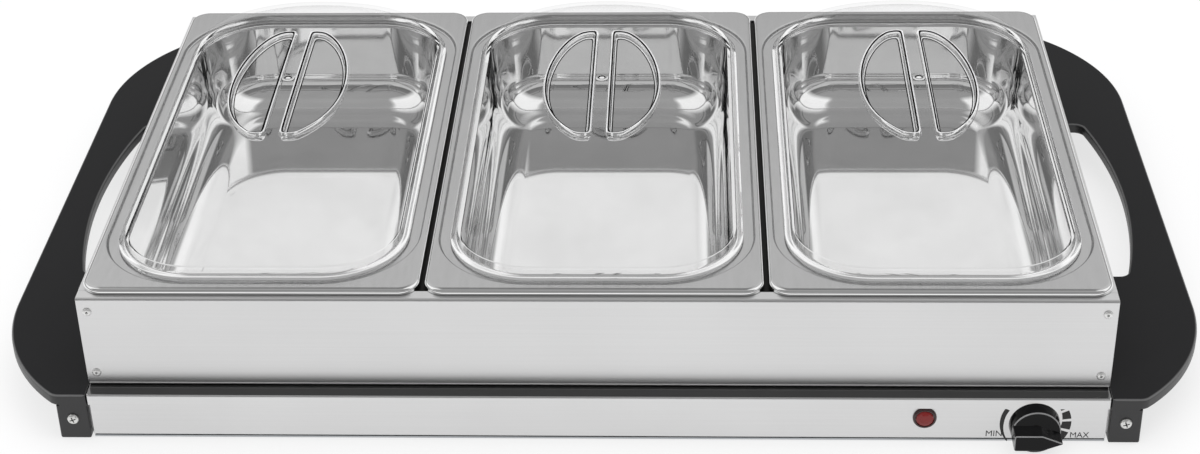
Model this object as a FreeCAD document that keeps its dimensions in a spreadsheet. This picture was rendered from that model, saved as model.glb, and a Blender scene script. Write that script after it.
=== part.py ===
import FreeCAD, Part

import math
import os
import Sketcher
from types import SimpleNamespace

# Electric food warmer tray: a low heated stainless tray on black moulded handles, a lift-off rack
# that holds three deep-drawn pans side by side, and a loose clear domed lid on each pan.
# +X right, +Y back, +Z up, millimetres. The origin is on the table, under the middle of the
# object's outline.

# Driving sizes: alias, value, meaning
SIZES = (
    ("sheet", 1.0, "wall of the folded steel sheets"),
    ("tray_depth", 414, "tray plate, front to back"),
    ("tray_top", 29, "cooking surface above the table"),
    ("tray_corner", 1.5, "corner radius of the tray plate"),
    ("skirt_height", 6.5, "turned-down edge of the tray plate"),
    ("panel_gap", 0.1, "panels clear of the tray plate's skirt"),
    ("panel_bottom", 2, "lower edge of the front and back panels above the table"),
    ("panel_flange", 14, "inward flange at the foot of each panel"),
    ("cover_gap", 0.2, "bottom cover inside the panels' outer faces"),
    ("cover_screw_side", 69, "outer cover screws from the tray's side"),
    ("cover_screw_head", 6, "cover screw head diameter"),
    ("cover_screw_lift", 0.2, "cover screw heads above the table"),
    ("cover_screw_shank", 3, "cover screw shank diameter"),
    ("cover_screw_length", 5, "cover screw shank below its head's face"),
    ("vent_length", 46, "air slot in the bottom cover, length"),
    ("vent_width", 4, "air slot width"),
    ("vent_pitch", 11, "air slot spacing"),
    ("vent_side", 149, "middle of each group of air slots from the tray's side"),
    ("tab_length", 10, "inward tabs of the end panels"),
    ("ear_reach", 13, "ears of the end panels that enter the handle feet"),
    ("ear_bottom", 5, "lower edge of an ear above the table"),
    ("ear_height", 16, "height of an ear"),
    ("foot_wall", 4, "plastic in front of an ear"),
    ("handle_reach", 58.3, "handle beyond the tray plate"),
    ("handle_gap", 0.2, "handle clear of the tray's side"),
    ("handle_drop", 0.2, "handle top below the tray plate"),
    ("handle_thick", 7, "thickness of the handle plate"),
    ("handle_shoulder", 89, "front-to-back reach of the handle's outer corners"),
    ("handle_round", 118, "radius of the handle's outer corners"),
    ("handle_nose", 8, "small radius where the corner meets the front edge"),
    ("handle_edge", 1.6, "rounding of the handle plate's edges"),
    ("grip_inner", 9, "strip of handle beside the tray"),
    ("grip_end", 27.5, "finger hole width at its ends, measured from the tray"),
    ("grip_middle", 39, "finger hole's outer edge at the middle, from the tray"),
    ("grip_margin", 119, "finger hole from the handle's front and back"),
    ("grip_corner", 6, "corner radius of the finger hole"),
    ("foot_width", 16.4, "foot, side to side"),
    ("foot_length", 34, "foot, front to back"),
    ("foot_lift", 0.8, "plastic foot above the table"),
    ("web_thick", 3, "wall of the handle beside the tray"),
    ("pad_width", 10, "rubber pad, side to side"),
    ("pad_length", 24, "rubber pad, front to back"),
    ("pad_recess", 2.2, "depth of the pad's seat in the foot"),
    ("handle_screw_height", 13.7, "handle screws above the table"),
    ("handle_screw_x", 8.2, "handle screws from the tray's side"),
    ("handle_screw_head", 6.2, "handle screw head diameter"),
    ("handle_screw_crown", 1.8, "handle screw head height"),
    ("handle_screw_shank", 3.5, "handle screw shank diameter"),
    ("handle_screw_length", 12, "handle screw shank length"),
    ("hole_slack", 0.2, "clearance holes over their screws, on the diameter"),
    ("tube_size", 6.5, "heating tube diameter"),
    ("tube_side", 74, "heating tube's straight runs end this far inside the tray's side"),
    ("tube_pitch", 84, "spacing of the heating tube's runs"),
    ("tube_gap", 0.1, "heating tube below the plate"),
    ("pin_size", 3.2, "terminal pin diameter"),
    ("pin_length", 12, "terminal pin length beyond its collar"),
    ("collar_size", 6.2, "insulating collar on a tube end, diameter"),
    ("collar_length", 8, "insulating collar length"),
    ("clip_side", 149, "clips from the tray's side"),
    ("clip_width", 12, "clip along the tube"),
    ("clip_foot", 12, "clip foot beside the tube"),
    ("stud_size", 4, "welded stud diameter"),
    ("stud_length", 18.5, "welded stud below the plate"),
    ("spacer_size", 7, "spacer sleeve diameter"),
    ("shield_height", 14, "underside of the heat shield above the table"),
    ("shield_thick", 0.8, "heat shield thickness"),
    ("shield_margin", 55, "heat shield inside the tray's outline"),
    ("nut_size", 7, "stud nut across its corners"),
    ("nut_height", 3, "stud nut height"),
    ("knob_side", 39.2, "dial axis from the tray's side"),
    ("knob_height", 13.4, "dial axis above the table"),
    ("knob_size", 26.6, "dial skirt diameter"),
    ("knob_front_size", 25.6, "dial skirt diameter at its front"),
    ("knob_skirt", 10, "dial skirt depth from the panel"),
    ("knob_reach", 19.6, "dial beyond the front panel"),
    ("knob_gap", 1.7, "dial skirt in front of the panel"),
    ("knob_hollow", 5, "hollow behind the dial"),
    ("knob_wall", 2.2, "wall of the dial's skirt"),
    ("hub_size", 10, "hub inside the dial"),
    ("bar_width", 9.4, "grip bar thickness"),
    ("bar_tail", 12.4, "grip bar from the axis to its blunt end"),
    ("bar_shoulder", 1.8, "grip bar from the axis to the start of its point"),
    ("bar_point", 12.4, "grip bar from the axis to its point"),
    ("shaft_size", 6, "thermostat shaft diameter"),
    ("shaft_flat", 1.5, "depth of the flat on the shaft"),
    ("shaft_in_knob", 13, "shaft in front of the panel"),
    ("shaft_inside", 16, "shaft behind the panel"),
    ("bore_slack", 0.1, "shaft clearance in the bushing, on the diameter"),
    ("bushing_size", 9, "thermostat bushing diameter"),
    ("bushing_reach", 1.4, "thermostat bushing in front of the panel"),
    ("stat_size", 20, "thermostat body diameter"),
    ("stat_length", 22, "thermostat body behind its plate"),
    ("stat_plate", 1.2, "thermostat mounting plate thickness"),
    ("stat_plate_width", 26, "thermostat mounting plate width"),
    ("stat_plate_height", 16, "thermostat mounting plate height"),
    ("stat_screw", 9, "thermostat screws from the dial axis"),
    ("stat_screw_size", 2.6, "thermostat screw shank diameter"),
    ("stat_screw_head", 4.6, "thermostat screw head diameter"),
    ("stat_screw_crown", 1.3, "thermostat screw head height"),
    ("blade_width", 6.3, "spade terminal width"),
    ("blade_thick", 0.8, "spade terminal thickness"),
    ("blade_length", 9, "spade terminal length"),
    ("lamp_side", 96.2, "lamp from the tray's side"),
    ("lamp_height", 15.9, "lamp above the table"),
    ("lamp_size", 12.6, "lamp bezel diameter"),
    ("lamp_bezel_reach", 1.6, "lamp bezel in front of the panel"),
    ("lens_size", 9.6, "lamp lens diameter at its foot"),
    ("lens_top", 6.4, "lamp lens diameter at its front"),
    ("lens_reach", 2.6, "lamp lens in front of the panel"),
    ("lamp_barrel", 8.6, "lamp barrel diameter"),
    ("lamp_length", 24, "lamp barrel behind the panel"),
    ("lamp_clip_size", 15, "lamp retaining ring diameter"),
    ("lamp_clip_thick", 1.2, "lamp retaining ring thickness"),
    ("bush_side", 64, "cord bush from the tray's side"),
    ("bush_height", 14, "cord bush above the table"),
    ("bush_size", 17, "cord bush flange diameter"),
    ("bush_reach", 3.4, "cord bush behind the back panel"),
    ("bush_neck", 12, "cord bush neck diameter"),
    ("bush_bore", 7.6, "cord bush bore"),
    ("bush_inside", 7, "cord bush inside the back panel"),
    ("block_side", 64, "terminal block from the tray's side"),
    ("block_y", 46, "terminal block in front of the back panel"),
    ("block_width", 34, "terminal block width"),
    ("block_depth", 16, "terminal block depth"),
    ("block_height", 11, "terminal block height"),
    ("pole_pitch", 10, "terminal block pole spacing"),
    ("pole_size", 3.4, "terminal screw diameter"),
    ("pole_depth", 5, "terminal screw depth"),
    ("fuse_size", 4, "thermal fuse diameter"),
    ("fuse_length", 12, "thermal fuse length"),
    ("fuse_side", 109, "thermal fuse from the tray's side"),
    ("fuse_clip_width", 6, "thermal fuse clip width"),
    ("wire_size", 2.2, "insulated wire diameter"),
    ("wire_bend", 5, "bend radius of the leads"),
    ("wire_lane", 22, "lead that runs beside the end panel, from the tray's side"),
    ("rack_end", 2.5, "rack beyond the pans' flanges, front and back"),
    ("rack_side", 1.6, "rack beyond the outer pans' flanges, left and right"),
    ("rack_height", 54.6, "pan rack height"),
    ("rack_front_gap", 9.5, "tray plate in front of the rack"),
    ("rack_flange", 8, "inward flange at the top of the rack"),
    ("rack_hem", 5, "inward hem at the foot of the rack"),
    ("rack_bend", 1.6, "outer bend radius of the rack's edges"),
    ("rack_tab", 12, "corner tabs of the rack's sides"),
    ("rivet_size", 4.8, "rivet head diameter"),
    ("rivet_crown", 1.2, "rivet head height"),
    ("rivet_hole", 1.6, "rivet bore"),
    ("rivet_shank", 3.2, "rivet shank diameter"),
    ("rivet_inset", 5.3, "rivets from the rack's side"),
    ("rivet_low", 8.1, "lower rivets above the rack's foot"),
    ("rivet_high", 6.6, "upper rivets below the rack's top"),
    ("bar_flat", 14, "divider bar width"),
    ("bar_depth", 10, "divider bar height"),
    ("pan_space", 2.2, "gap between neighbouring pans' flanges"),
    ("pan_width", 176.8, "pan flange width"),
    ("pan_length", 325, "pan flange length"),
    ("pan_setback", 1.3, "pans behind the middle of the rack"),
    ("pan_corner", 11, "pan flange corner radius"),
    ("pan_lip", 3.4, "turned-down lip of the pan flange"),
    ("pan_roll", 2.6, "rounding of the pan's outer edge"),
    ("pan_wall", 1.0, "pan sheet thickness"),
    ("pan_seat", 0.2, "pan lip clear of the rack's flange"),
    ("mouth_side", 4.2, "flange width beside the pan's mouth"),
    ("mouth_end", 6, "flange width at the ends of the mouth"),
    ("mouth_corner", 50, "corner radius of the pan's mouth"),
    ("ledge_step", 2.4, "lid ledge below the flange"),
    ("ledge_width", 10.2, "width of the lid ledge"),
    ("well_depth", 52.4, "pan floor below the ledge"),
    ("well_draft", 4, "slope of the pan's walls, degrees"),
    ("well_round", 17, "radius between the pan's wall and floor"),
    ("ledge_round", 1.5, "rounding from the ledge into the well"),
    ("lid_slack", 5.6, "lid rim inside the pan's mouth"),
    ("lid_seat", 0.2, "lid rim clear of the ledge"),
    ("lid_rim", 3.5, "flat rim of the lid"),
    ("lid_wall", 1.8, "lid wall"),
    ("lid_rise", 37.7, "dome above its rim"),
    ("grip_width", 63, "both thumb pockets together, side to side"),
    ("grip_length", 130, "oval of the thumb pockets, front to back"),
    ("grip_trim", 4.2, "each end of the oval cut off by this much"),
    ("grip_bar", 11.2, "bar between the thumb pockets"),
    ("grip_depth", 4.2, "depth of the thumb pockets below the dome over them"),
    ("mark_size", 7, "moulding mark on the lid's bar, diameter"),
    ("mark_rise", 0.7, "moulding mark above the dome"),
)

DOME_LEVELS = 9
DOME_CLOSE = 13
DOME_SIDE_POWER = 2.2
DOME_END_POWER = 3.75
PAN_NAMES = ("left", "center", "right")
SIDES = (("left", -1), ("right", 1))


class Size:
    """A cell of the sheet, or arithmetic on cells: text for expressions, value for first guesses."""

    def __init__(self, text, value):
        self.text = text
        self.value = float(value)

    def __float__(self):
        return self.value

    def __neg__(self):
        return Size("(-{})".format(self.text), -self.value)

    def __add__(self, other):
        return Size("({} + {})".format(self.text, as_text(other)), self.value + float(other))

    def __radd__(self, other):
        return self + other

    def __sub__(self, other):
        return Size("({} - {})".format(self.text, as_text(other)), self.value - float(other))

    def __rsub__(self, other):
        return -self + other

    def __mul__(self, other):
        return Size("({} * {})".format(self.text, as_text(other)), self.value * float(other))

    def __rmul__(self, other):
        return self * other

    def __truediv__(self, other):
        return Size("({} / {})".format(self.text, as_text(other)), self.value / float(other))


def as_text(number):
    if isinstance(number, Size):
        return number.text
    return "({:.9g})".format(float(number))


def bind(target, path, size):
    """Ties one property of an object to the sheet."""
    target.setExpression(path, as_text(size))


document = FreeCAD.newDocument("food_warmer_tray")
sheet_object = document.addObject("Spreadsheet::Sheet", "sizes")
for row, (alias, value, meaning) in enumerate(SIZES, start=1):
    sheet_object.set("A{}".format(row), str(value))
    sheet_object.setAlias("A{}".format(row), alias)
    sheet_object.set("B{}".format(row), meaning)
document.recompute()
d = SimpleNamespace(**{alias: Size("sizes." + alias, sheet_object.get(alias))
                       for alias, value, meaning in SIZES})
sub_parts = []


# Derived places, all tied to the sheet
pan_pitch = d.pan_width + d.pan_space
tray_width = 2 * pan_pitch + d.pan_width + 2 * d.rack_side
rack_depth = d.pan_length + 2 * d.rack_end
tray_y = (d.knob_reach - d.bush_reach) / 2
tray_right = tray_width / 2
tray_front = tray_y - d.tray_depth / 2
tray_back = tray_y + d.tray_depth / 2
plate_under = d.tray_top - d.sheet
skirt_inset = d.sheet + d.panel_gap + (d.tray_corner - d.sheet) * 0.3
panel_front = tray_front + skirt_inset
panel_rear = tray_back - skirt_inset
cover_top = d.panel_bottom
cover_bottom = d.panel_bottom - d.sheet
handle_top = d.tray_top - d.handle_drop
handle_under = handle_top - d.handle_thick
handle_inner = tray_right + d.handle_gap
tube_z = plate_under - d.tube_gap - d.tube_size / 2
rack_front = tray_front + d.rack_front_gap
rack_y = rack_front + rack_depth / 2
rack_back = rack_front + rack_depth
rack_bottom = d.tray_top
rack_top = rack_bottom + d.rack_height
pan_y = rack_y + d.pan_setback
flange_top = rack_top + d.pan_seat + d.pan_lip
ledge_top = flange_top - d.ledge_step
floor_top = ledge_top - d.well_depth
mouth_width = d.pan_width - 2 * d.mouth_side
mouth_length = d.pan_length - 2 * d.mouth_end
well_width = mouth_width - 2 * d.ledge_width
well_length = mouth_length - 2 * d.ledge_width
well_corner = d.mouth_corner - d.ledge_width
rim_bottom = ledge_top + d.lid_seat
rim_top = rim_bottom + d.lid_wall
shield_top = d.shield_height + d.shield_thick
handle_straight = d.tray_depth / 2 - d.handle_shoulder
grip_half = d.tray_depth / 2 - d.grip_margin
tube_run = tray_right - d.tube_side
clip_x = tray_right - d.clip_side
cover_screw_x = tray_right - d.cover_screw_side
vent_x = tray_right - d.vent_side
knob_x = tray_right - d.knob_side
lamp_x = tray_right - d.lamp_side
bush_x = tray_right - d.bush_side
block_x = tray_right - d.block_side
fuse_x = tray_right - d.fuse_side


# ---------------------------------------------------------------- helpers: primitives

def placed(item, x=0, y=0, z=0):
    for axis, size in (("x", x), ("y", y), ("z", z)):
        bind(item, "Placement.Base." + axis, size)
    return item


def block(name, x, y, z):
    """A box from its low and high corner on each axis."""
    item = document.addObject("Part::Box", name)
    for path, (low, high) in (("Length", x), ("Width", y), ("Height", z)):
        bind(item, path, high - low)
    return placed(item, x[0], y[0], z[0])


def turned(item, direction):
    if direction is not None:
        turn = FreeCAD.Rotation(FreeCAD.Vector(0, 0, 1), FreeCAD.Vector(*direction))
        item.Placement = FreeCAD.Placement(FreeCAD.Vector(), turn)
    return item


def rod(name, diameter, length, place, direction=None):
    """A cylinder that starts at place and runs along direction, upwards when none is given."""
    item = turned(document.addObject("Part::Cylinder", name), direction)
    bind(item, "Radius", diameter / 2)
    bind(item, "Height", length)
    return placed(item, *place)


def taper(name, start, end, length, place, direction=None):
    """A cone between two diameters."""
    item = turned(document.addObject("Part::Cone", name), direction)
    bind(item, "Radius1", start / 2)
    bind(item, "Radius2", end / 2)
    bind(item, "Height", length)
    return placed(item, *place)


def joined(name, items):
    item = document.addObject("Part::MultiFuse", name)
    item.Shapes = list(items)
    return item


def gathered(name, items):
    """Separate solids kept together as one sub-part."""
    item = document.addObject("Part::Compound", name)
    item.Links = list(items)
    return item


def cut(name, base, tools):
    item = document.addObject("Part::Cut", name)
    item.Base = base
    item.Tool = tools[0] if len(tools) == 1 else joined(name + "_tools", tools)
    return item


def node(item, label):
    item.Label = label
    sub_parts.append(item)
    return item


# ---------------------------------------------------------------- helpers: bodies and sketches

def new_body(name, x=0, y=0, z=0):
    return placed(document.addObject("PartDesign::Body", name), x, y, z)


def new_sketch(body, role, offset=0):
    """A sketch on one of the body's own planes, moved along that plane's normal."""
    sketch = body.newObject("Sketcher::SketchObject", body.Name + "_sketch")
    plane = next(item for item in body.Origin.OriginFeatures if item.Role == role)
    sketch.AttachmentSupport = [(plane, "")]
    sketch.MapMode = "FlatFace"
    bind(sketch, "AttachmentOffset.Base.z", offset)
    return sketch


def pin_point(sketch, geometry, point, x, y):
    for kind, size in (("DistanceX", x), ("DistanceY", y)):
        index = sketch.addConstraint(
            Sketcher.Constraint(kind, -1, 1, geometry, point, float(size)))
        bind(sketch, "Constraints[{}]".format(index), size)


def draw_polygon(sketch, points):
    """Straight lines through the points, each point tied to the sheet."""
    spots = [FreeCAD.Vector(float(x), float(y), 0) for x, y in points]
    for start, end in zip(spots, spots[1:] + spots[:1]):
        sketch.addGeometry(Part.LineSegment(start, end))
    for index in range(len(points)):
        sketch.addConstraint(
            Sketcher.Constraint("Coincident", index, 2, (index + 1) % len(points), 1))
    for index, (x, y) in enumerate(points):
        pin_point(sketch, index, 1, x, y)
    return sketch


def draw_circle(sketch, diameter, x=0, y=0):
    centre = FreeCAD.Vector(float(x), float(y), 0)
    index = sketch.addGeometry(
        Part.Circle(centre, FreeCAD.Vector(0, 0, 1), float(diameter) / 2))
    pin_point(sketch, index, 3, x, y)
    radius = sketch.addConstraint(Sketcher.Constraint("Radius", index, float(diameter) / 2))
    bind(sketch, "Constraints[{}]".format(radius), diameter / 2)
    return sketch


def draw_rounded(sketch, width, length, radius):
    """A rounded rectangle about the sketch's origin."""
    x, y, r = float(width) / 2, float(length) / 2, float(radius)
    up = FreeCAD.Vector(0, 0, 1)
    corners = ((x - r, r - y, -90), (x - r, y - r, 0), (r - x, y - r, 90), (r - x, r - y, 180))
    lines = (((r - x, -y), (x - r, -y)), ((x, r - y), (x, y - r)),
             ((x - r, y), (r - x, y)), ((-x, y - r), (-x, r - y)))
    for (start, end), (cx, cy, angle) in zip(lines, corners):
        sketch.addGeometry(Part.LineSegment(FreeCAD.Vector(*start, 0), FreeCAD.Vector(*end, 0)))
        circle = Part.Circle(FreeCAD.Vector(cx, cy, 0), up, r)
        first = math.radians(angle)
        sketch.addGeometry(Part.ArcOfCircle(circle, first, first + math.pi / 2))
    for index in range(8):
        sketch.addConstraint(Sketcher.Constraint("Tangent", index, 2, (index + 1) % 8, 1))
    for index, kind in ((0, "Horizontal"), (2, "Vertical"), (4, "Horizontal"), (6, "Vertical")):
        sketch.addConstraint(Sketcher.Constraint(kind, index))
    for index in (3, 5, 7):
        sketch.addConstraint(Sketcher.Constraint("Equal", 1, index))
    sides = (("DistanceY", 0, -length / 2), ("DistanceX", 2, width / 2),
             ("DistanceY", 4, length / 2), ("DistanceX", 6, -width / 2))
    for kind, index, size in sides:
        number = sketch.addConstraint(Sketcher.Constraint(kind, -1, 1, index, 1, float(size)))
        bind(sketch, "Constraints[{}]".format(number), size)
    number = sketch.addConstraint(Sketcher.Constraint("Radius", 1, r))
    bind(sketch, "Constraints[{}]".format(number), radius)
    return sketch


def draw_arc(sketch, centre, first, last, forward):
    """An arc that runs anticlockwise from first to last when forward is true, else clockwise.
    Returns its number and the point numbers of its two ends."""
    angles = [math.atan2(y - centre[1], x - centre[0]) for x, y in (first, last)]
    start, stop = angles if forward else reversed(angles)
    if stop <= start:
        stop += 2 * math.pi
    radius = math.hypot(first[0] - centre[0], first[1] - centre[1])
    circle = Part.Circle(FreeCAD.Vector(centre[0], centre[1], 0), FreeCAD.Vector(0, 0, 1), radius)
    number = sketch.addGeometry(Part.ArcOfCircle(circle, start, stop))
    return number, (1 if forward else 2), (2 if forward else 1)


def draw_line(sketch, first, last):
    """A straight line; returns its number and the point numbers of its two ends."""
    number = sketch.addGeometry(Part.LineSegment(FreeCAD.Vector(*first, 0), FreeCAD.Vector(*last, 0)))
    return number, 1, 2


def chain(sketch, pieces, smooth=(), closed=True):
    """Joins each piece to the next, smoothly after the numbered pieces."""
    following = pieces[1:] + pieces[:1] if closed else pieces[1:]
    for index, (piece, after) in enumerate(zip(pieces, following)):
        kind = "Tangent" if index in smooth else "Coincident"
        sketch.addConstraint(Sketcher.Constraint(kind, piece[0], piece[2], after[0], after[1]))


def set_radius(sketch, number, size):
    index = sketch.addConstraint(Sketcher.Constraint("Radius", number, float(size)))
    bind(sketch, "Constraints[{}]".format(index), size)


def extrude(body, kind, sketch, length, back=False, centred=False, slope=None):
    """A Pad or Pocket of a sketch. A Pad goes along the sketch's normal and a Pocket against it."""
    feature = body.newObject("PartDesign::" + kind, body.Name + "_" + kind.lower())
    feature.Profile = sketch
    feature.Reversed = back
    feature.Midplane = centred
    bind(feature, "Length", length)
    if slope is not None:
        bind(feature, "TaperAngle", slope)
    document.recompute()
    return feature


def round_edges(body, radius, wanted):
    """A fillet on the edges whose bounding boxes pass the test."""
    last = body.Tip
    names = ["Edge{}".format(number) for number, edge in enumerate(last.Shape.Edges, start=1)
             if wanted(edge.BoundBox)]
    feature = body.newObject("PartDesign::Fillet", body.Name + "_fillet")
    feature.Base = (last, names)
    bind(feature, "Radius", radius)
    document.recompute()
    return feature


def near(value, target, slack=0.02):
    return abs(value - float(target)) < slack


def flat_at(z):
    """A test for edges that lie in one level plane."""
    return lambda box: near(box.ZMin, z) and near(box.ZMax, z)


# ---------------------------------------------------------------- heated tray: metal shell

def top_plate():
    body = new_body("top_plate_body", 0, tray_y, 0)
    outline = draw_rounded(new_sketch(body, "XY_Plane", d.tray_top - d.skirt_height),
                           tray_width, d.tray_depth, d.tray_corner)
    extrude(body, "Pad", outline, d.skirt_height)
    round_edges(body, d.sheet, flat_at(d.tray_top))
    hollow = draw_rounded(new_sketch(body, "XY_Plane", d.tray_top - d.skirt_height),
                          tray_width - 2 * d.sheet, d.tray_depth - 2 * d.sheet,
                          d.tray_corner - d.sheet)
    extrude(body, "Pocket", hollow, d.skirt_height - d.sheet, back=True)
    node(body, "top_plate")


def panel_profile(name, outer, inward):
    """An upright panel with an inward flange at its foot, between the tray's side skirts."""
    inner = outer + inward * d.sheet
    lip = outer + inward * d.panel_flange
    body = new_body(name)
    points = ((outer, d.panel_bottom), (lip, d.panel_bottom),
              (lip, d.panel_bottom + d.sheet), (inner, d.panel_bottom + d.sheet),
              (inner, plate_under), (outer, plate_under))
    sketch = draw_polygon(new_sketch(body, "YZ_Plane"), points)
    extrude(body, "Pad", sketch, tray_width - 2 * skirt_inset, centred=True)
    return body


def cover_screw_spots():
    rows = (panel_front + d.panel_flange / 2 + d.sheet / 2,
            panel_rear - d.panel_flange / 2 - d.sheet / 2)
    return [(step * cover_screw_x, y) for y in rows for step in (-1, 0, 1)]


def cover_screw_holes(name):
    return [rod("{}_hole_{}".format(name, number), d.cover_screw_shank + d.hole_slack,
                4 * d.sheet, (x, y, cover_bottom - d.sheet))
            for number, (x, y) in enumerate(cover_screw_spots())]


def front_panel():
    body = panel_profile("front_panel_body", panel_front, 1)
    deep = 3 * d.sheet
    start = panel_front - d.sheet
    ahead = (0, 1, 0)
    holes = cover_screw_holes("front_panel")[:3]
    holes.append(rod("dial_hole", d.bushing_size + d.hole_slack, deep,
                     (knob_x, start, d.knob_height), ahead))
    holes.append(rod("lamp_hole", d.lamp_barrel + d.hole_slack, deep,
                     (lamp_x, start, d.lamp_height), ahead))
    for side in (-1, 1):
        holes.append(rod("stat_hole", d.stat_screw_size + d.hole_slack, deep,
                         (knob_x + side * d.stat_screw, start, d.knob_height), ahead))
    node(cut("front_panel_cut", body, holes), "front_panel")


def back_panel():
    body = panel_profile("back_panel_body", panel_rear, -1)
    holes = cover_screw_holes("back_panel")[3:]
    holes.append(rod("cord_hole", d.bush_neck + d.hole_slack, 3 * d.sheet,
                     (bush_x, panel_rear - 2 * d.sheet, d.bush_height), (0, 1, 0)))
    node(cut("back_panel_cut", body, holes), "back_panel")


def across(side, near_x, far_x):
    """A pair of X limits on the right side, or mirrored on the left."""
    return (near_x, far_x) if side > 0 else (-far_x, -near_x)


def ear_face(end):
    """The outer face of the ear at the front or back end of an end panel."""
    return tray_front + d.foot_wall if end < 0 else tray_back - d.foot_wall - d.sheet


def end_panels():
    """Upright steel ends with tabs behind the panels and ears inside the handle feet."""
    wall_outer = tray_right - skirt_inset
    wall_inner = wall_outer - d.sheet
    for word, side in SIDES:
        name = word + "_end_panel"
        y_front = panel_front + d.sheet
        y_back = panel_rear - d.sheet
        upright = (d.panel_bottom + d.sheet, plate_under)
        pieces = [block(name + "_wall", across(side, wall_inner, wall_outer),
                        (y_front, y_back), upright)]
        for end, y in ((-1, (y_front, y_front + d.sheet)), (1, (y_back - d.sheet, y_back))):
            pieces.append(block(name + "_tab", across(side, wall_inner - d.tab_length, wall_inner),
                                y, upright))
            face = ear_face(end)
            pieces.append(block(name + "_ear", across(side, wall_inner, wall_outer + d.ear_reach),
                                (face, face + d.sheet),
                                (d.ear_bottom, d.ear_bottom + d.ear_height)))
        holes = [rod(name + "_ear_hole", d.handle_screw_shank + d.hole_slack, 3 * d.sheet,
                     (side * (handle_inner + d.handle_screw_x), ear_face(end) - d.sheet,
                      d.handle_screw_height), (0, 1, 0))
                 for end in (-1, 1)]
        node(cut(name + "_cut", joined(name + "_fuse", pieces), holes), name)


def bottom_cover():
    inset = skirt_inset + d.cover_gap
    plate = block("cover_plate", (-tray_right + inset, tray_right - inset),
                  (tray_front + inset, tray_back - inset), (cover_bottom, cover_top))
    tools = cover_screw_holes("bottom_cover")
    for side in (-1, 1):
        for step in range(-3, 4):
            middle = tray_y + step * d.vent_pitch
            x = side * vent_x
            tools.append(block("vent_slot", (x - d.vent_length / 2, x + d.vent_length / 2),
                               (middle - d.vent_width / 2, middle + d.vent_width / 2),
                               (cover_bottom - d.sheet, cover_top + d.sheet)))
    node(cut("bottom_cover_cut", plate, tools), "bottom_cover")


def cover_screws():
    screws = []
    for x, y in cover_screw_spots():
        head = rod("cover_screw_head", d.cover_screw_head, cover_bottom - d.cover_screw_lift,
                   (x, y, d.cover_screw_lift))
        shank = rod("cover_screw_shank", d.cover_screw_shank,
                    cover_bottom - d.cover_screw_lift + d.cover_screw_length,
                    (x, y, d.cover_screw_lift))
        screws.append(joined("cover_screw", (head, shank)))
    node(gathered("cover_screw_set", screws), "cover_screws")


# ---------------------------------------------------------------- handles and feet

def handle_outline(sketch, side):
    """Straight outer edge, a large arc at each end, and straight front and back edges."""
    half = d.tray_depth / 2
    outer = tray_right + d.handle_reach
    end, start, radius = float(half), float(handle_straight), float(d.handle_round)
    inner, reach = side * float(handle_inner), side * float(outer)
    centre = reach - side * radius
    corner = centre + side * math.sqrt(radius ** 2 - (end - start) ** 2)
    forward = side > 0
    pieces = [
        draw_line(sketch, (inner, -end), (corner, -end)),
        draw_arc(sketch, (centre, -start), (corner, -end), (reach, -start), forward),
        draw_line(sketch, (reach, -start), (reach, start)),
        draw_arc(sketch, (centre, start), (reach, start), (corner, end), forward),
        draw_line(sketch, (corner, end), (inner, end)),
        draw_line(sketch, (inner, end), (inner, -end)),
    ]
    chain(sketch, pieces, smooth=(1, 2))
    pin_point(sketch, 0, 1, side * handle_inner, -half)
    pin_point(sketch, 4, 2, side * handle_inner, half)
    pin_point(sketch, 2, 1, side * outer, -handle_straight)
    pin_point(sketch, 2, 2, side * outer, handle_straight)
    for index in (0, 4):
        sketch.addConstraint(Sketcher.Constraint("Horizontal", index))
    for index in (1, 3):
        set_radius(sketch, index, d.handle_round)
    return sketch


def grip_outline(sketch, side):
    """The finger hole: straight beside the tray, bowed on its outer side."""
    inner = tray_right + d.grip_inner
    ends = tray_right + d.grip_end
    bow = d.grip_middle - d.grip_end
    radius = (grip_half * grip_half + bow * bow) / (2 * bow)
    half = float(grip_half)
    near_x, far_x = side * float(inner), side * float(ends)
    centre = side * float(ends + bow - radius)
    pieces = [
        draw_line(sketch, (near_x, -half), (far_x, -half)),
        draw_arc(sketch, (centre, 0), (far_x, -half), (far_x, half), side > 0),
        draw_line(sketch, (far_x, half), (near_x, half)),
        draw_line(sketch, (near_x, half), (near_x, -half)),
    ]
    chain(sketch, pieces)
    pin_point(sketch, 0, 1, side * inner, -grip_half)
    pin_point(sketch, 0, 2, side * ends, -grip_half)
    pin_point(sketch, 2, 1, side * ends, grip_half)
    pin_point(sketch, 2, 2, side * inner, grip_half)
    set_radius(sketch, 1, radius)
    return sketch


def foot_rectangle(sketch, side, end):
    """One foot's outline, at the front (end -1) or back (end 1) of the handle."""
    x_in = side * handle_inner
    x_out = side * (handle_inner + d.foot_width)
    y_out = end * d.tray_depth / 2
    y_in = end * (d.tray_depth / 2 - d.foot_length)
    return draw_polygon(sketch, ((x_in, y_out), (x_out, y_out), (x_out, y_in), (x_in, y_in)))


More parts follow.
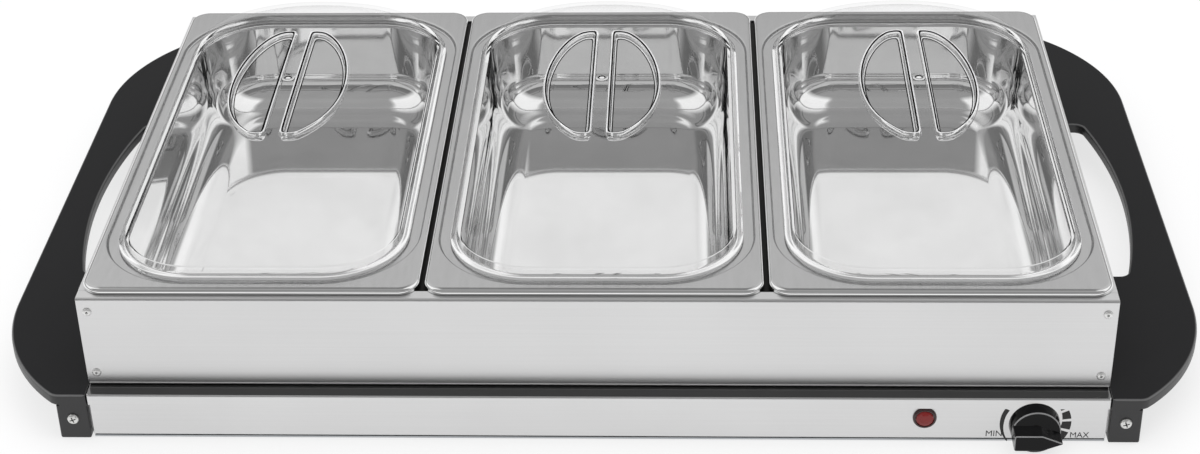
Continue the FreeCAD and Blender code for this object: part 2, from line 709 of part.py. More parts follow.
def handle(word, side):
    name = word + "_handle"
    body = new_body(name + "_body", 0, tray_y, 0)
    outline = handle_outline(new_sketch(body, "XY_Plane", handle_under), side)
    extrude(body, "Pad", outline, d.handle_thick)
    corner_y = float(d.tray_depth) / 2
    inner = float(handle_inner)
    round_edges(body, d.handle_nose,
                lambda box: box.XLength < 0.01 and box.YLength < 0.01
                and near(abs(box.YMin), corner_y) and abs(box.XMin) > inner + 1)
    hole = grip_outline(new_sketch(body, "XY_Plane", handle_top), side)
    extrude(body, "Pocket", hole, d.handle_thick)
    grip_y = float(grip_half)
    round_edges(body, d.grip_corner,
                lambda box: box.XLength < 0.01 and box.YLength < 0.01
                and near(abs(box.YMin), grip_y) and box.ZLength > 1)
    top = float(handle_top)
    under = float(handle_under)
    round_edges(body, d.handle_edge,
                lambda box: (near(box.ZMin, top) or near(box.ZMin, under)) and box.ZLength < 0.01
                and not (near(abs(box.XMin), inner) and near(abs(box.XMax), inner))
                and not (near(abs(box.YMin), corner_y) and near(abs(box.YMax), corner_y)
                         and near(box.ZMin, under)))
    for end in (-1, 1):
        foot = foot_rectangle(new_sketch(body, "XY_Plane", d.foot_lift), side, end)
        extrude(body, "Pad", foot, handle_under - d.foot_lift + d.handle_thick / 2)
    web_half = d.tray_depth / 2 - d.foot_length + d.sheet
    web = draw_polygon(new_sketch(body, "XY_Plane", d.panel_bottom + d.sheet),
                       ((side * handle_inner, -web_half),
                        (side * (handle_inner + d.web_thick), -web_half),
                        (side * (handle_inner + d.web_thick), web_half),
                        (side * handle_inner, web_half)))
    extrude(body, "Pad", web, handle_under - d.panel_bottom + d.sheet)
    tools = []
    for end in (-1, 1):
        face = ear_face(end)
        slack = d.hole_slack / 2
        tools.append(block(name + "_ear_slot",
                           across(side, tray_right - d.sheet,
                                  tray_right - skirt_inset + d.ear_reach + 2 * slack),
                           (face - slack, face + d.sheet + slack),
                           (d.ear_bottom - slack, d.ear_bottom + d.ear_height + slack)))
        y_start = tray_front if end < 0 else tray_back
        tools.append(rod(name + "_screw_hole", d.handle_screw_shank + d.hole_slack,
                         d.handle_screw_length + d.sheet,
                         (side * (handle_inner + d.handle_screw_x), y_start,
                          d.handle_screw_height), (0, -end, 0)))
        tools.append(pad_block(name + "_pad_seat", side, end, d.hole_slack,
                               (d.foot_lift - d.sheet, d.foot_lift + d.pad_recess)))
    node(cut(name + "_cut", body, tools), name)


def pad_block(name, side, end, slack, z):
    """A rubber pad or its seat, in the middle of a foot."""
    x = side * (handle_inner + d.foot_width / 2)
    y = tray_y + end * (d.tray_depth / 2 - d.foot_length / 2)
    half_x = (d.pad_width + slack) / 2
    half_y = (d.pad_length + slack) / 2
    return block(name, (x - half_x, x + half_x), (y - half_y, y + half_y), z)


def foot_pads():
    pads = [pad_block("foot_pad", side, end, 0, (0, d.foot_lift + d.pad_recess))
            for word, side in SIDES for end in (-1, 1)]
    node(gathered("foot_pad_set", pads), "foot_pads")


def cross_head(name, head, crown, place, direction):
    """A pan head: a short cone whose face has a cross recess."""
    x, y, z = place
    sign = direction[1]
    cap = taper(name + "_cap", head, head * 0.72, crown, place, direction)
    slot = head * 0.5
    wide = head * 0.11
    depth = crown * 0.6
    y_low, y_high = (y + crown - depth, y + 2 * crown) if sign > 0 else (
        y - 2 * crown, y - crown + depth)
    recess = [block(name + "_slot", (x - slot / 2, x + slot / 2), (y_low, y_high),
                    (z - wide / 2, z + wide / 2)),
              block(name + "_slot", (x - wide / 2, x + wide / 2), (y_low, y_high),
                    (z - slot / 2, z + slot / 2))]
    return cut(name + "_head", cap, recess)


def handle_screws():
    screws = []
    for word, side in SIDES:
        for end in (-1, 1):
            name = "{}_{}_handle_screw".format(word, "front" if end < 0 else "back")
            x = side * (handle_inner + d.handle_screw_x)
            y = tray_front if end < 0 else tray_back
            place = (x, y, d.handle_screw_height)
            head = cross_head(name, d.handle_screw_head, d.handle_screw_crown, place, (0, end, 0))
            shank = rod(name + "_shank", d.handle_screw_shank, d.handle_screw_length, place,
                        (0, -end, 0))
            screws.append(joined(name, (head, shank)))
    node(gathered("handle_screw_set", screws), "handle_screws")


# ---------------------------------------------------------------- heating element

def tube_rows():
    return [tray_y + step * d.tube_pitch for step in (-1.5, -0.5, 0.5, 1.5)]


def heater_element():
    """A steel-clad heating tube under the plate: four straight runs joined by three half turns."""
    body = new_body("heater_body")
    path = new_sketch(body, "XY_Plane", tube_z)
    rows = tube_rows()
    run = tube_run
    pieces = []
    pins = []
    for index, y in enumerate(rows):
        side = 1 if index % 2 == 0 else -1
        if index:
            bend = side * float(run)
            before = float(rows[index - 1])
            pieces.append(draw_arc(path, (bend, (before + float(y)) / 2), (bend, before),
                                   (bend, float(y)), side > 0))
        line = draw_line(path, (side * float(run), float(y)), (-side * float(run), float(y)))
        pieces.append(line)
        pins.append((line[0], side * run, y))
    chain(path, pieces, smooth=(0, 2, 4), closed=False)
    for number, x, y in pins:
        pin_point(path, number, 1, x, y)
        pin_point(path, number, 2, -x, y)
    profile = draw_circle(new_sketch(body, "YZ_Plane", run), d.tube_size, rows[0], tube_z)
    tube = body.newObject("PartDesign::AdditivePipe", "heater_pipe")
    tube.Profile = profile
    tube.Spine = (path, [])
    document.recompute()
    node(body, "heater_element")


def heater_terminals():
    """An insulating collar and a pin at each end of the heating tube."""
    first, last = tube_rows()[0], tube_rows()[3]
    ends = []
    for y, direction, x in ((first, 1, tube_run), (last, 1, tube_run)):
        place = (x, y, tube_z)
        collar = rod("heater_collar", d.collar_size, d.collar_length, place, (direction, 0, 0))
        pin = rod("heater_pin", d.pin_size, d.collar_length + d.pin_length, place,
                  (direction, 0, 0))
        ends.append(joined("heater_end", (collar, pin)))
    node(gathered("heater_end_set", ends), "heater_terminals")


def stud_spots():
    """Welded studs, one beside the tube at each clip."""
    offset = (d.tube_size + d.clip_foot) / 2 + d.sheet
    return [(side * clip_x, y + offset) for y in tube_rows() for side in (-1, 1)]


def weld_studs():
    studs = [rod("weld_stud", d.stud_size, d.stud_length, (x, y, plate_under - d.stud_length))
             for x, y in stud_spots()]
    node(gathered("weld_stud_set", studs), "weld_studs")


def heater_clips():
    """Steel saddles that hold the heating tube up against the plate."""
    clips = []
    offset = (d.tube_size + d.clip_foot) / 2 + d.sheet
    for x, y_stud in stud_spots():
        y = y_stud - offset
        half = d.tube_size / 2 + d.sheet
        x_limits = (x - d.clip_width / 2, x + d.clip_width / 2)
        saddle = block("clip_saddle", x_limits, (y - half, y + half),
                       (tube_z - half, plate_under))
        foot = block("clip_foot", x_limits, (y + half - d.sheet, y + half + d.clip_foot),
                     (plate_under - d.sheet, plate_under))
        inside = half - d.sheet + d.tube_gap / 2
        tools = [rod("clip_bore", 2 * inside, d.clip_width + 2 * d.sheet,
                     (x - d.clip_width / 2 - d.sheet, y, tube_z), (1, 0, 0)),
                 block("clip_mouth", (x - d.clip_width, x + d.clip_width),
                       (y - inside, y + inside), (tube_z, plate_under + d.sheet)),
                 rod("clip_hole", d.stud_size + d.hole_slack, 3 * d.sheet,
                     (x, y_stud, plate_under - 2 * d.sheet))]
        clips.append(cut("heater_clip", joined("clip_body", (saddle, foot)), tools))
    node(gathered("heater_clip_set", clips), "heater_clips")


def shield_spacers():
    sleeves = []
    for x, y in stud_spots():
        length = plate_under - d.sheet - shield_top
        outside = rod("spacer", d.spacer_size, length, (x, y, shield_top))
        inside = rod("spacer_bore", d.stud_size + d.hole_slack, length, (x, y, shield_top))
        sleeves.append(cut("shield_spacer", outside, [inside]))
    node(gathered("shield_spacer_set", sleeves), "shield_spacers")


def heat_shield():
    margin = d.shield_margin
    plate = block("shield_plate", (-tray_right + margin, tray_right - margin),
                  (tray_front + margin, tray_back - margin), (d.shield_height, shield_top))
    holes = [rod("shield_hole", d.stud_size + d.hole_slack, 3 * d.shield_thick,
                 (x, y, d.shield_height - d.shield_thick)) for x, y in stud_spots()]
    node(cut("heat_shield_cut", plate, holes), "heat_shield")


def stud_nuts():
    nuts = []
    for x, y in stud_spots():
        blank = document.addObject("Part::Prism", "nut_blank")
        blank.Polygon = 6
        bind(blank, "Circumradius", d.nut_size / 2)
        bind(blank, "Height", d.nut_height)
        placed(blank, x, y, d.shield_height - d.nut_height)
        bore = rod("nut_bore", d.stud_size, 2 * d.nut_height,
                   (x, y, d.shield_height - 1.5 * d.nut_height))
        nuts.append(cut("stud_nut", blank, [bore]))
    node(gathered("stud_nut_set", nuts), "stud_nuts")


# ---------------------------------------------------------------- thermostat and dial

def thermostat():
    """A bimetal thermostat on its mounting plate, with a bushing through the front panel."""
    back = panel_front + d.sheet
    ahead = (0, 1, 0)
    axis = (knob_x, d.knob_height)
    half_x, half_z = d.stat_plate_width / 2, d.stat_plate_height / 2
    plate = block("stat_plate", (axis[0] - half_x, axis[0] + half_x), (back, back + d.stat_plate),
                  (axis[1] - half_z, axis[1] + half_z))
    case = rod("stat_case", d.stat_size, d.stat_length,
               (axis[0], back + d.stat_plate, axis[1]), ahead)
    bushing = rod("stat_bushing", d.bushing_size, d.bushing_reach + d.sheet + d.stat_plate,
                  (axis[0], panel_front - d.bushing_reach, axis[1]), ahead)
    rear = back + d.stat_plate + d.stat_length
    blades = [block("stat_blade", (axis[0] + side * d.stat_size / 4 - d.blade_thick / 2,
                                   axis[0] + side * d.stat_size / 4 + d.blade_thick / 2),
                    (rear - d.sheet, rear + d.blade_length),
                    (axis[1] - d.blade_width / 2, axis[1] + d.blade_width / 2))
              for side in (-1, 1)]
    tools = [rod("stat_bore", d.shaft_size + d.bore_slack, d.bushing_reach + d.shaft_inside + d.sheet,
                 (axis[0], panel_front - d.bushing_reach, axis[1]), ahead)]
    for side in (-1, 1):
        tools.append(rod("stat_thread", d.stat_screw_size, 3 * d.stat_plate + d.sheet,
                         (axis[0] + side * d.stat_screw, panel_front, axis[1]), ahead))
    node(cut("thermostat_cut", joined("thermostat_fuse", [plate, case, bushing] + blades), tools),
         "thermostat")


def thermostat_screws():
    screws = []
    for side in (-1, 1):
        place = (knob_x + side * d.stat_screw, panel_front, d.knob_height)
        head = rod("stat_screw_head", d.stat_screw_head, d.stat_screw_crown, place, (0, -1, 0))
        shank = rod("stat_screw_shank", d.stat_screw_size, d.sheet + d.stat_plate + d.sheet,
                    place, (0, 1, 0))
        screws.append(joined("thermostat_screw", (head, shank)))
    node(gathered("thermostat_screw_set", screws), "thermostat_screws")


def shaft_solid(name, diameter, flat_depth):
    """A round bar with a flat on the side away from the dial's point."""
    start = panel_front - d.shaft_in_knob
    bar = rod(name + "_bar", diameter, d.shaft_in_knob + d.shaft_inside,
              (knob_x, start, d.knob_height), (0, 1, 0))
    x_flat = knob_x - diameter / 2 + flat_depth
    flat = block(name + "_flat", (x_flat - diameter, x_flat),
                 (start - d.sheet, panel_front - d.bushing_reach - d.sheet),
                 (d.knob_height - diameter, d.knob_height + diameter))
    return cut(name, bar, [flat])


def thermostat_shaft():
    node(shaft_solid("shaft_cut", d.shaft_size, d.shaft_flat), "thermostat_shaft")


def control_knob():
    """A round skirt with a thick grip bar across it that ends in a point."""
    body = new_body("knob_body", knob_x, panel_front, d.knob_height)
    skirt = draw_circle(new_sketch(body, "XZ_Plane", d.knob_gap), d.knob_size)
    slope = Size("atan(({} - {}) / (2 * ({} - {})))".format(
        d.knob_size.text, d.knob_front_size.text, d.knob_skirt.text, d.knob_gap.text),
        math.degrees(math.atan((float(d.knob_size) - float(d.knob_front_size))
                               / (2 * float(d.knob_skirt - d.knob_gap)))))
    extrude(body, "Pad", skirt, d.knob_skirt - d.knob_gap, slope=-slope)
    round_edges(body, d.sheet, lambda box: near(box.YMax, -d.knob_skirt, 0.05)
                and near(box.YMin, -d.knob_skirt, 0.05))
    hollow = draw_circle(new_sketch(body, "XZ_Plane", d.knob_gap), d.knob_size - 2 * d.knob_wall)
    extrude(body, "Pocket", hollow, d.knob_hollow - d.knob_gap, back=True)
    half = d.bar_width / 2
    bar = draw_polygon(new_sketch(body, "XZ_Plane", d.knob_hollow + d.sheet),
                       ((-d.bar_tail, -half), (d.bar_shoulder, -half),
                        (d.bar_point, 0), (d.bar_shoulder, half), (-d.bar_tail, half)))
    extrude(body, "Pad", bar, d.knob_reach - d.knob_hollow - d.sheet)
    hub = draw_circle(new_sketch(body, "XZ_Plane", d.bushing_reach + d.sheet), d.hub_size)
    extrude(body, "Pad", hub, d.knob_hollow - d.bushing_reach)
    bore_depth = d.shaft_in_knob + d.bore_slack
    bore = rod("knob_bore_bar", d.shaft_size + d.bore_slack, bore_depth,
               (knob_x, panel_front - bore_depth, d.knob_height), (0, 1, 0))
    x_flat = knob_x - d.shaft_size / 2 + d.shaft_flat - d.bore_slack / 2
    flat = block("knob_bore_flat", (x_flat - d.shaft_size, x_flat),
                 (panel_front - bore_depth - d.sheet, panel_front),
                 (d.knob_height - d.shaft_size, d.knob_height + d.shaft_size))
    node(cut("knob_cut", body, [cut("knob_bore", bore, [flat])]), "control_knob")


# ---------------------------------------------------------------- lamp, cord bush, wiring

def lamp():
    ahead, forward = (0, 1, 0), (0, -1, 0)
    place = (lamp_x, panel_front, d.lamp_height)
    ring = taper("bezel_ring", d.lamp_size, d.lamp_size * 0.9, d.lamp_bezel_reach, place, forward)
    eye = rod("bezel_eye", d.lens_size, 2 * d.lamp_bezel_reach,
              (lamp_x, panel_front - 1.5 * d.lamp_bezel_reach, d.lamp_height), ahead)
    node(cut("bezel_cut", ring, [eye]), "lamp_bezel")
    foot = rod("lens_foot", d.lens_size - d.hole_slack, d.lamp_bezel_reach, place, forward)
    dome = taper("lens_dome", d.lens_size - d.hole_slack, d.lens_top,
                 d.lens_reach - d.lamp_bezel_reach,
                 (lamp_x, panel_front - d.lamp_bezel_reach, d.lamp_height), forward)
    node(joined("lens_fuse", (foot, dome)), "lamp_lens")
    barrel = rod("lamp_barrel_rod", d.lamp_barrel, d.lamp_length, place, ahead)
    node(barrel, "lamp_body")
    behind = panel_front + d.sheet
    disc = rod("clip_disc", d.lamp_clip_size, d.lamp_clip_thick,
               (lamp_x, behind, d.lamp_height), ahead)
    hole = rod("clip_eye", d.lamp_barrel, 3 * d.lamp_clip_thick,
               (lamp_x, panel_front, d.lamp_height), ahead)
    node(cut("lamp_clip_cut", disc, [hole]), "lamp_clip")


def cord_bushing():
    """A hollow strain bush in the back panel, where the supply cord enters."""
    rear = (0, 1, 0)
    inside = panel_rear - d.sheet
    flange = taper("bush_flange", d.bush_size, d.bush_size * 0.86, d.bush_reach,
                   (bush_x, panel_rear, d.bush_height), rear)
    neck = rod("bush_neck_rod", d.bush_neck, d.bush_inside + d.sheet,
               (bush_x, inside - d.bush_inside, d.bush_height), rear)
    bore = rod("bush_bore_rod", d.bush_bore, d.bush_inside + d.bush_reach + 4 * d.sheet,
               (bush_x, inside - d.bush_inside - d.sheet, d.bush_height), rear)
    node(cut("bush_cut", joined("bush_fuse", (flange, neck)), [bore]), "cord_bushing")


def pole_spots():
    y = tray_back - d.block_y
    return [(block_x + step * d.pole_pitch, y) for step in (-1, 0, 1)]


def terminal_block():
    y = tray_back - d.block_y
    top = cover_top + d.block_height
    case = block("block_case", (block_x - d.block_width / 2, block_x + d.block_width / 2),
                 (y - d.block_depth / 2, y + d.block_depth / 2), (cover_top, top))
    wells = []
    for x, pole_y in pole_spots():
        wells.append(rod("pole_well", d.pole_size, 2 * d.pole_depth, (x, pole_y, top - d.pole_depth)))
        wells.append(rod("pole_entry", d.wire_size + d.hole_slack, 2 * d.block_depth,
                         (x, pole_y - d.block_depth, cover_top + d.block_height / 3), (0, 1, 0)))
    node(cut("terminal_block_cut", case, wells), "terminal_block")
    screws = [rod("pole_screw", d.pole_size - d.hole_slack, d.pole_depth - d.sheet / 2,
                  (x, pole_y, top - d.pole_depth)) for x, pole_y in pole_spots()]
    node(gathered("pole_screw_set", screws), "terminal_screws")


def thermal_fuse():
    """A cut-out fuse held against the plate by its own clip."""
    y = tray_y
    z = plate_under - d.fuse_size / 2
    can = rod("fuse_can", d.fuse_size, d.fuse_length, (fuse_x - d.fuse_length / 2, y, z), (1, 0, 0))
    strap_half = d.fuse_size / 2 + d.sheet
    strap = block("fuse_strap", (fuse_x - d.fuse_clip_width / 2, fuse_x + d.fuse_clip_width / 2),
                  (y - strap_half, y + strap_half), (z - strap_half, plate_under))
    opening = block("fuse_gap", (fuse_x - d.fuse_length, fuse_x + d.fuse_length),
                    (y - d.fuse_size / 2, y + d.fuse_size / 2),
                    (z - d.fuse_size / 2, plate_under + d.sheet))
    node(can, "thermal_fuse")
    node(cut("fuse_clip_cut", strap, [opening]), "fuse_clip")


def smooth_route(points, radius):
    """Straight runs through the points, joined by tangent arcs."""
    spots = [FreeCAD.Vector(*(float(c) for c in point)) for point in points]
    edges = []
    start = spots[0]
    for before, corner, after in zip(spots, spots[1:], spots[2:]):
        back = (before - corner).normalize()
        on = (after - corner).normalize()
        half = back.getAngle(on) / 2
        trim = radius / math.tan(half)
        first = corner + back * trim
        last = corner + on * trim
        inward = (back + on).normalize()
        middle = corner + inward * (radius / math.sin(half) - radius)
        edges.append(Part.LineSegment(start, first).toShape())
        edges.append(Part.Arc(first, middle, last).toShape())
        start = last
    edges.append(Part.LineSegment(start, spots[-1]).toShape())
    return Part.Wire(edges)


def internal_wires():
    """Insulated leads between the terminal block, thermostat and heating tube."""
    rows = tube_rows()
    bend = d.wire_bend
    stat_rear = panel_front + d.sheet + d.stat_plate + d.stat_length + d.blade_length
    blade = d.stat_size / 4
    low = cover_top + d.wire_size
    lane = tray_right - d.wire_lane
    poles = pole_spots()
    entry_z = cover_top + d.block_height / 3
    block_front = poles[0][1] - d.block_depth / 2
    entry_y = block_front + d.block_depth / 4
    pin_end = tube_run + d.collar_length + d.pin_length
    turn_x = pin_end + 2 * bend + d.wire_size
    routes = (
        ((poles[2][0], entry_y, entry_z), (poles[2][0], block_front - 4 * bend, entry_z),
         (lane, block_front - 10 * bend, low), (lane, stat_rear + 9 * bend, low),
         (knob_x + blade, stat_rear + 5 * bend, d.knob_height),
         (knob_x + blade, stat_rear, d.knob_height)),
        ((knob_x - blade, stat_rear, d.knob_height),
         (knob_x - blade, stat_rear + 3 * bend, d.knob_height),
         (turn_x, stat_rear + 6 * bend, tube_z - bend), (turn_x, rows[0], tube_z),
         (pin_end, rows[0], tube_z)),
        ((poles[0][0], entry_y, entry_z), (poles[0][0], block_front - 2.5 * bend, entry_z),
         (tray_right - d.shield_margin + 1.6 * bend, block_front - 3.5 * bend,
          entry_z + 0.8 * bend),
         (turn_x, rows[3], tube_z), (pin_end, rows[3], tube_z)),
    )
    wires = []
    for points in routes:
        path = smooth_route(points, float(bend))
        start = path.Edges[0]
        circle = Part.makeCircle(float(d.wire_size) / 2, start.valueAt(start.FirstParameter),
                                 start.tangentAt(start.FirstParameter))
        wires.append(path.makePipeShell([Part.Wire(circle)], True, False))
    item = document.addObject("Part::Feature", "wire_set")
    item.Shape = Part.makeCompound(wires)
    node(item, "internal_wires")


# ---------------------------------------------------------------- pan rack

def rack_wall_profile(outer, inward):
    """An upright wall with an inward flange on top and an inward hem at its foot."""
    inner = outer + inward * d.sheet
    flange = outer + inward * d.rack_flange
    hem = outer + inward * d.rack_hem
    return ((outer, rack_bottom), (hem, rack_bottom), (hem, rack_bottom + d.sheet),
            (inner, rack_bottom + d.sheet), (inner, rack_top - d.sheet),
            (flange, rack_top - d.sheet), (flange, rack_top), (outer, rack_top))


def rack_long_wall(name, outer, inward):
    body = new_body(name + "_body")
    sketch = draw_polygon(new_sketch(body, "YZ_Plane"), rack_wall_profile(outer, inward))
    extrude(body, "Pad", sketch, tray_width, centred=True)
    edge = float(outer)
    round_edges(body, d.rack_bend * 0.6, lambda box: near(box.YMin, edge) and near(box.YMax, edge)
                and box.XLength > float(tray_right))
    holes = [rod(name + "_rivet_hole", d.rivet_shank, 3 * d.sheet, (x, outer - d.sheet, z), (0, 1, 0))
             for x, z in rivet_spots()]
    node(cut(name + "_cut", body, holes), name)


def rivet_spots():
    x = tray_right - d.rivet_inset
    heights = (rack_bottom + d.rivet_low, rack_top - d.rivet_high)
    return [(side * x, z) for side in (-1, 1) for z in heights]


def rack_side_wall(word, side):
    """A side of the rack, between the long walls, with a riveted tab at each end."""
    name = "rack_" + word
    outer = side * tray_right
    body = new_body(name + "_body")
    sketch = draw_polygon(new_sketch(body, "XZ_Plane", -rack_y), rack_wall_profile(outer, -side))
    extrude(body, "Pad", sketch, rack_depth - 2 * d.rack_flange, centred=True)
    wall = across(side, tray_right - d.sheet, tray_right)
    pieces = [body]
    upright = (rack_bottom + d.sheet, rack_top - d.sheet)
    ends = ((rack_front + d.sheet, rack_front + d.rack_flange),
            (rack_back - d.rack_flange, rack_back - d.sheet))
    for low, high in ends:
        pieces.append(block(name + "_end", wall, (low, high), upright))
    tabs = ((rack_front + d.sheet, rack_front + 2 * d.sheet),
            (rack_back - 2 * d.sheet, rack_back - d.sheet))
    for low, high in tabs:
        pieces.append(block(name + "_tab", across(side, tray_right - d.sheet - d.rack_tab,
                                                  tray_right - d.sheet / 2), (low, high), upright))
    holes = [rod(name + "_rivet_hole", d.rivet_shank, 3 * d.sheet, (x, low - d.sheet, z), (0, 1, 0))
             for x, z in rivet_spots() if x.value * side > 0 for low, high in tabs]
    node(cut(name + "_cut", joined(name + "_fuse", pieces), holes), name)


def rack_rivets():
    """Blind rivets with a low domed head and a bore through the middle."""
    rivets = []
    for end, face in ((-1, rack_front), (1, rack_back)):
        for x, z in rivet_spots():
            place = (x, face, z)
            head = taper("rivet_head", d.rivet_size, d.rivet_size * 0.6, d.rivet_crown, place,
                         (0, end, 0))
            shank = rod("rivet_shank_rod", d.rivet_shank, 4 * d.sheet, place, (0, -end, 0))
            bore = rod("rivet_bore", d.rivet_hole, d.rivet_crown + 2 * d.sheet,
                       (x, face + end * (d.rivet_crown + d.sheet), z), (0, -end, 0))
            rivets.append(cut("rivet", joined("rivet_blank", (head, shank)), [bore]))
    node(gathered("rivet_set", rivets), "rack_rivets")


def rack_dividers():
    """Channels from front to back under the edges of neighbouring pans."""
    for word, side in SIDES:
        x = side * pan_pitch / 2
        half = d.bar_flat / 2
        top = rack_top - d.sheet
        inside = half - d.sheet
        name = "divider_" + word
        body = new_body(name + "_body")
        points = ((x - half, top - d.bar_depth), (x - inside, top - d.bar_depth),
                  (x - inside, top - d.sheet), (x + inside, top - d.sheet),
                  (x + inside, top - d.bar_depth), (x + half, top - d.bar_depth),
                  (x + half, top), (x - half, top))
        sketch = draw_polygon(new_sketch(body, "XZ_Plane", -rack_y), points)
        extrude(body, "Pad", sketch, rack_depth - 2 * d.sheet, centred=True)
        node(body, name)


# ---------------------------------------------------------------- pans

def food_pan(word, step):
    """A deep-drawn pan: rolled flange, lid ledge, sloping walls and a rounded floor edge."""
    name = "pan_" + word
    body = new_body(name + "_body", step * pan_pitch, pan_y, 0)
    lip_bottom = flange_top - d.pan_lip
    wall = d.pan_wall
    outline = draw_rounded(new_sketch(body, "XY_Plane", lip_bottom), d.pan_width, d.pan_length,
                           d.pan_corner)
    extrude(body, "Pad", outline, d.pan_lip)
    round_edges(body, d.pan_roll, flat_at(flange_top))
    under = draw_rounded(new_sketch(body, "XY_Plane", lip_bottom), d.pan_width - 2 * wall,
                         d.pan_length - 2 * wall, d.pan_corner - wall)
    extrude(body, "Pocket", under, d.pan_lip - wall, back=True)
    inner_roll = d.pan_roll - wall
    round_edges(body, inner_roll, lambda box: near(box.ZMin, flange_top - wall)
                and near(box.ZMax, flange_top - wall))
    collar_bottom = ledge_top - wall
    collar = draw_rounded(new_sketch(body, "XY_Plane", collar_bottom), mouth_width + 2 * wall,
                          mouth_length + 2 * wall, d.mouth_corner + wall)
    extrude(body, "Pad", collar, flange_top - collar_bottom - wall / 2)
    outer_well = draw_rounded(new_sketch(body, "XY_Plane", ledge_top - wall / 2),
                              well_width + 2 * wall, well_length + 2 * wall, well_corner + wall)
    extrude(body, "Pad", outer_well, d.well_depth + wall / 2, back=True, slope=-d.well_draft)
    mouth = draw_rounded(new_sketch(body, "XY_Plane", flange_top), mouth_width, mouth_length,
                         d.mouth_corner)
    extrude(body, "Pocket", mouth, d.ledge_step)
    well = draw_rounded(new_sketch(body, "XY_Plane", ledge_top), well_width, well_length,
                        well_corner)
    extrude(body, "Pocket", well, d.well_depth, slope=-d.well_draft)
    round_edges(body, d.well_round, flat_at(floor_top))
    round_edges(body, d.well_round + wall, flat_at(floor_top - wall))
    round_edges(body, d.ledge_round, lambda box: flat_at(ledge_top)(box)
                and box.YMax <= float(well_length) / 2 + 0.5
                and box.YMin >= -float(well_length) / 2 - 0.5
                and abs(box.XMin) <= float(well_width) / 2 + 0.5
                and abs(box.XMax) <= float(well_width) / 2 + 0.5)
    node(body, name)


# ---------------------------------------------------------------- lids

def rounded_wire(half_x, half_y, radius, z):
    """A rounded rectangle of four lines and four arcs at one level."""
    radius = min(radius, half_x * 0.97, half_y * 0.97)
    x, y = half_x - radius, half_y - radius
    bite = radius * (1 - math.sqrt(0.5))
    edges = []
    for sx, sy, first_is_x in ((1, 1, True), (-1, 1, False), (-1, -1, True), (1, -1, False)):
        side_end = FreeCAD.Vector(sx * half_x, sy * y, z)
        top_end = FreeCAD.Vector(sx * x, sy * half_y, z)
        middle = FreeCAD.Vector(sx * (half_x - bite), sy * (half_y - bite), z)
        first, last = (side_end, top_end) if first_is_x else (top_end, side_end)
        edges.append(Part.Arc(first, middle, last).toShape())
        if first_is_x:
            following = FreeCAD.Vector(-sx * x, sy * half_y, z)
        else:
            following = FreeCAD.Vector(sx * half_x, -sy * y, z)
        edges.append(Part.LineSegment(last, following).toShape())
    return Part.Wire(edges)


def dome_solid(half_x, half_y, radius, base, rise):
    """A pillow dome lofted through rounded rectangles that shrink towards the top."""
    wires = []
    top_angle = math.pi / 2 * (1 - 1 / DOME_CLOSE)
    for level in range(DOME_LEVELS):
        height = math.sin(top_angle * level / (DOME_LEVELS - 1))
        left = 1 - height ** 2
        x = half_x * left ** (1 / DOME_SIDE_POWER)
        y = half_y * left ** (1 / DOME_END_POWER)
        wires.append(rounded_wire(x, y, radius * (1 + height ** 2), base + rise * height))
    return Part.makeLoft(wires, True, False)


def prism(wire, low, high):
    face = Part.Face(wire)
    face.translate(FreeCAD.Vector(0, 0, low))
    return face.extrude(FreeCAD.Vector(0, 0, high - low))


def thumb_outline(side, inset):
    """Half of an oval beside the bar, with its ends cut square, drawn at level zero."""
    bar = float(d.grip_bar) / 2 + inset
    half_x = float(d.grip_width) / 2 - inset
    half_y = float(d.grip_length) / 2 - inset
    trim = half_y - float(d.grip_trim)
    steps = 14
    limit = math.asin(trim / half_y)
    points = []
    for step in range(steps + 1):
        angle = -limit + 2 * limit * step / steps
        points.append(FreeCAD.Vector(side * half_x * math.cos(angle), half_y * math.sin(angle), 0))
    curve = Part.BSplineCurve()
    curve.interpolate(points)
    corners = [points[-1], FreeCAD.Vector(side * bar, trim, 0),
               FreeCAD.Vector(side * bar, -trim, 0), points[0]]
    edges = [curve.toShape()]
    for start, end in zip(corners, corners[1:]):
        edges.append(Part.LineSegment(start, end).toShape())
    return Part.Wire(edges)


def lid_shape():
    """Flat rim, hollow pillow dome and two thumb pockets whose floors follow it, with a bar between."""
    wall = float(d.lid_wall)
    rim_x = float(mouth_width) / 2 - float(d.lid_slack)
    rim_y = float(mouth_length) / 2 - float(d.lid_slack)
    rim_r = float(d.mouth_corner) - float(d.lid_slack)
    foot = float(d.lid_rim)
    low, high = float(rim_bottom), float(rim_top)
    rise = float(d.lid_rise)
    rim = prism(rounded_wire(rim_x, rim_y, rim_r, 0), low, high)
    outer = dome_solid(rim_x - foot, rim_y - foot, rim_r - foot, high, rise)
    inner = dome_solid(rim_x - foot - wall, rim_y - foot - wall, rim_r - foot - wall, low, rise)
    top = high + rise
    sunk = FreeCAD.Vector(0, 0, -float(d.grip_depth))
    mark = Part.makeCylinder(float(d.mark_size) / 2, 4 * wall, FreeCAD.Vector(0, 0, top - 4 * wall
                                                                              + float(d.mark_rise)))
    shell = rim.fuse(outer)
    cups = []
    hollows = []
    for side in (-1, 1):
        cup = prism(thumb_outline(side, -wall), low, top).common(outer)
        cups.append(cup.cut(inner.translated(sunk)))
        hollow = prism(thumb_outline(side, 0), low, top + rise)
        hollows.append(hollow.cut(outer.translated(sunk)))
    inner = inner.cut(cups[0]).cut(cups[1])
    shell = shell.cut(inner)
    for hollow in hollows:
        shell = shell.cut(hollow)
    return shell.fuse(mark).removeSplitter()


def lids():
    shape = lid_shape()
    for step, word in enumerate(PAN_NAMES, start=-1):
        item = document.addObject("Part::Feature", "lid_" + word)
        item.Shape = shape
        placed(item, step * pan_pitch, pan_y)
        node(item, "lid_" + word)


# ---------------------------------------------------------------- build, check and write

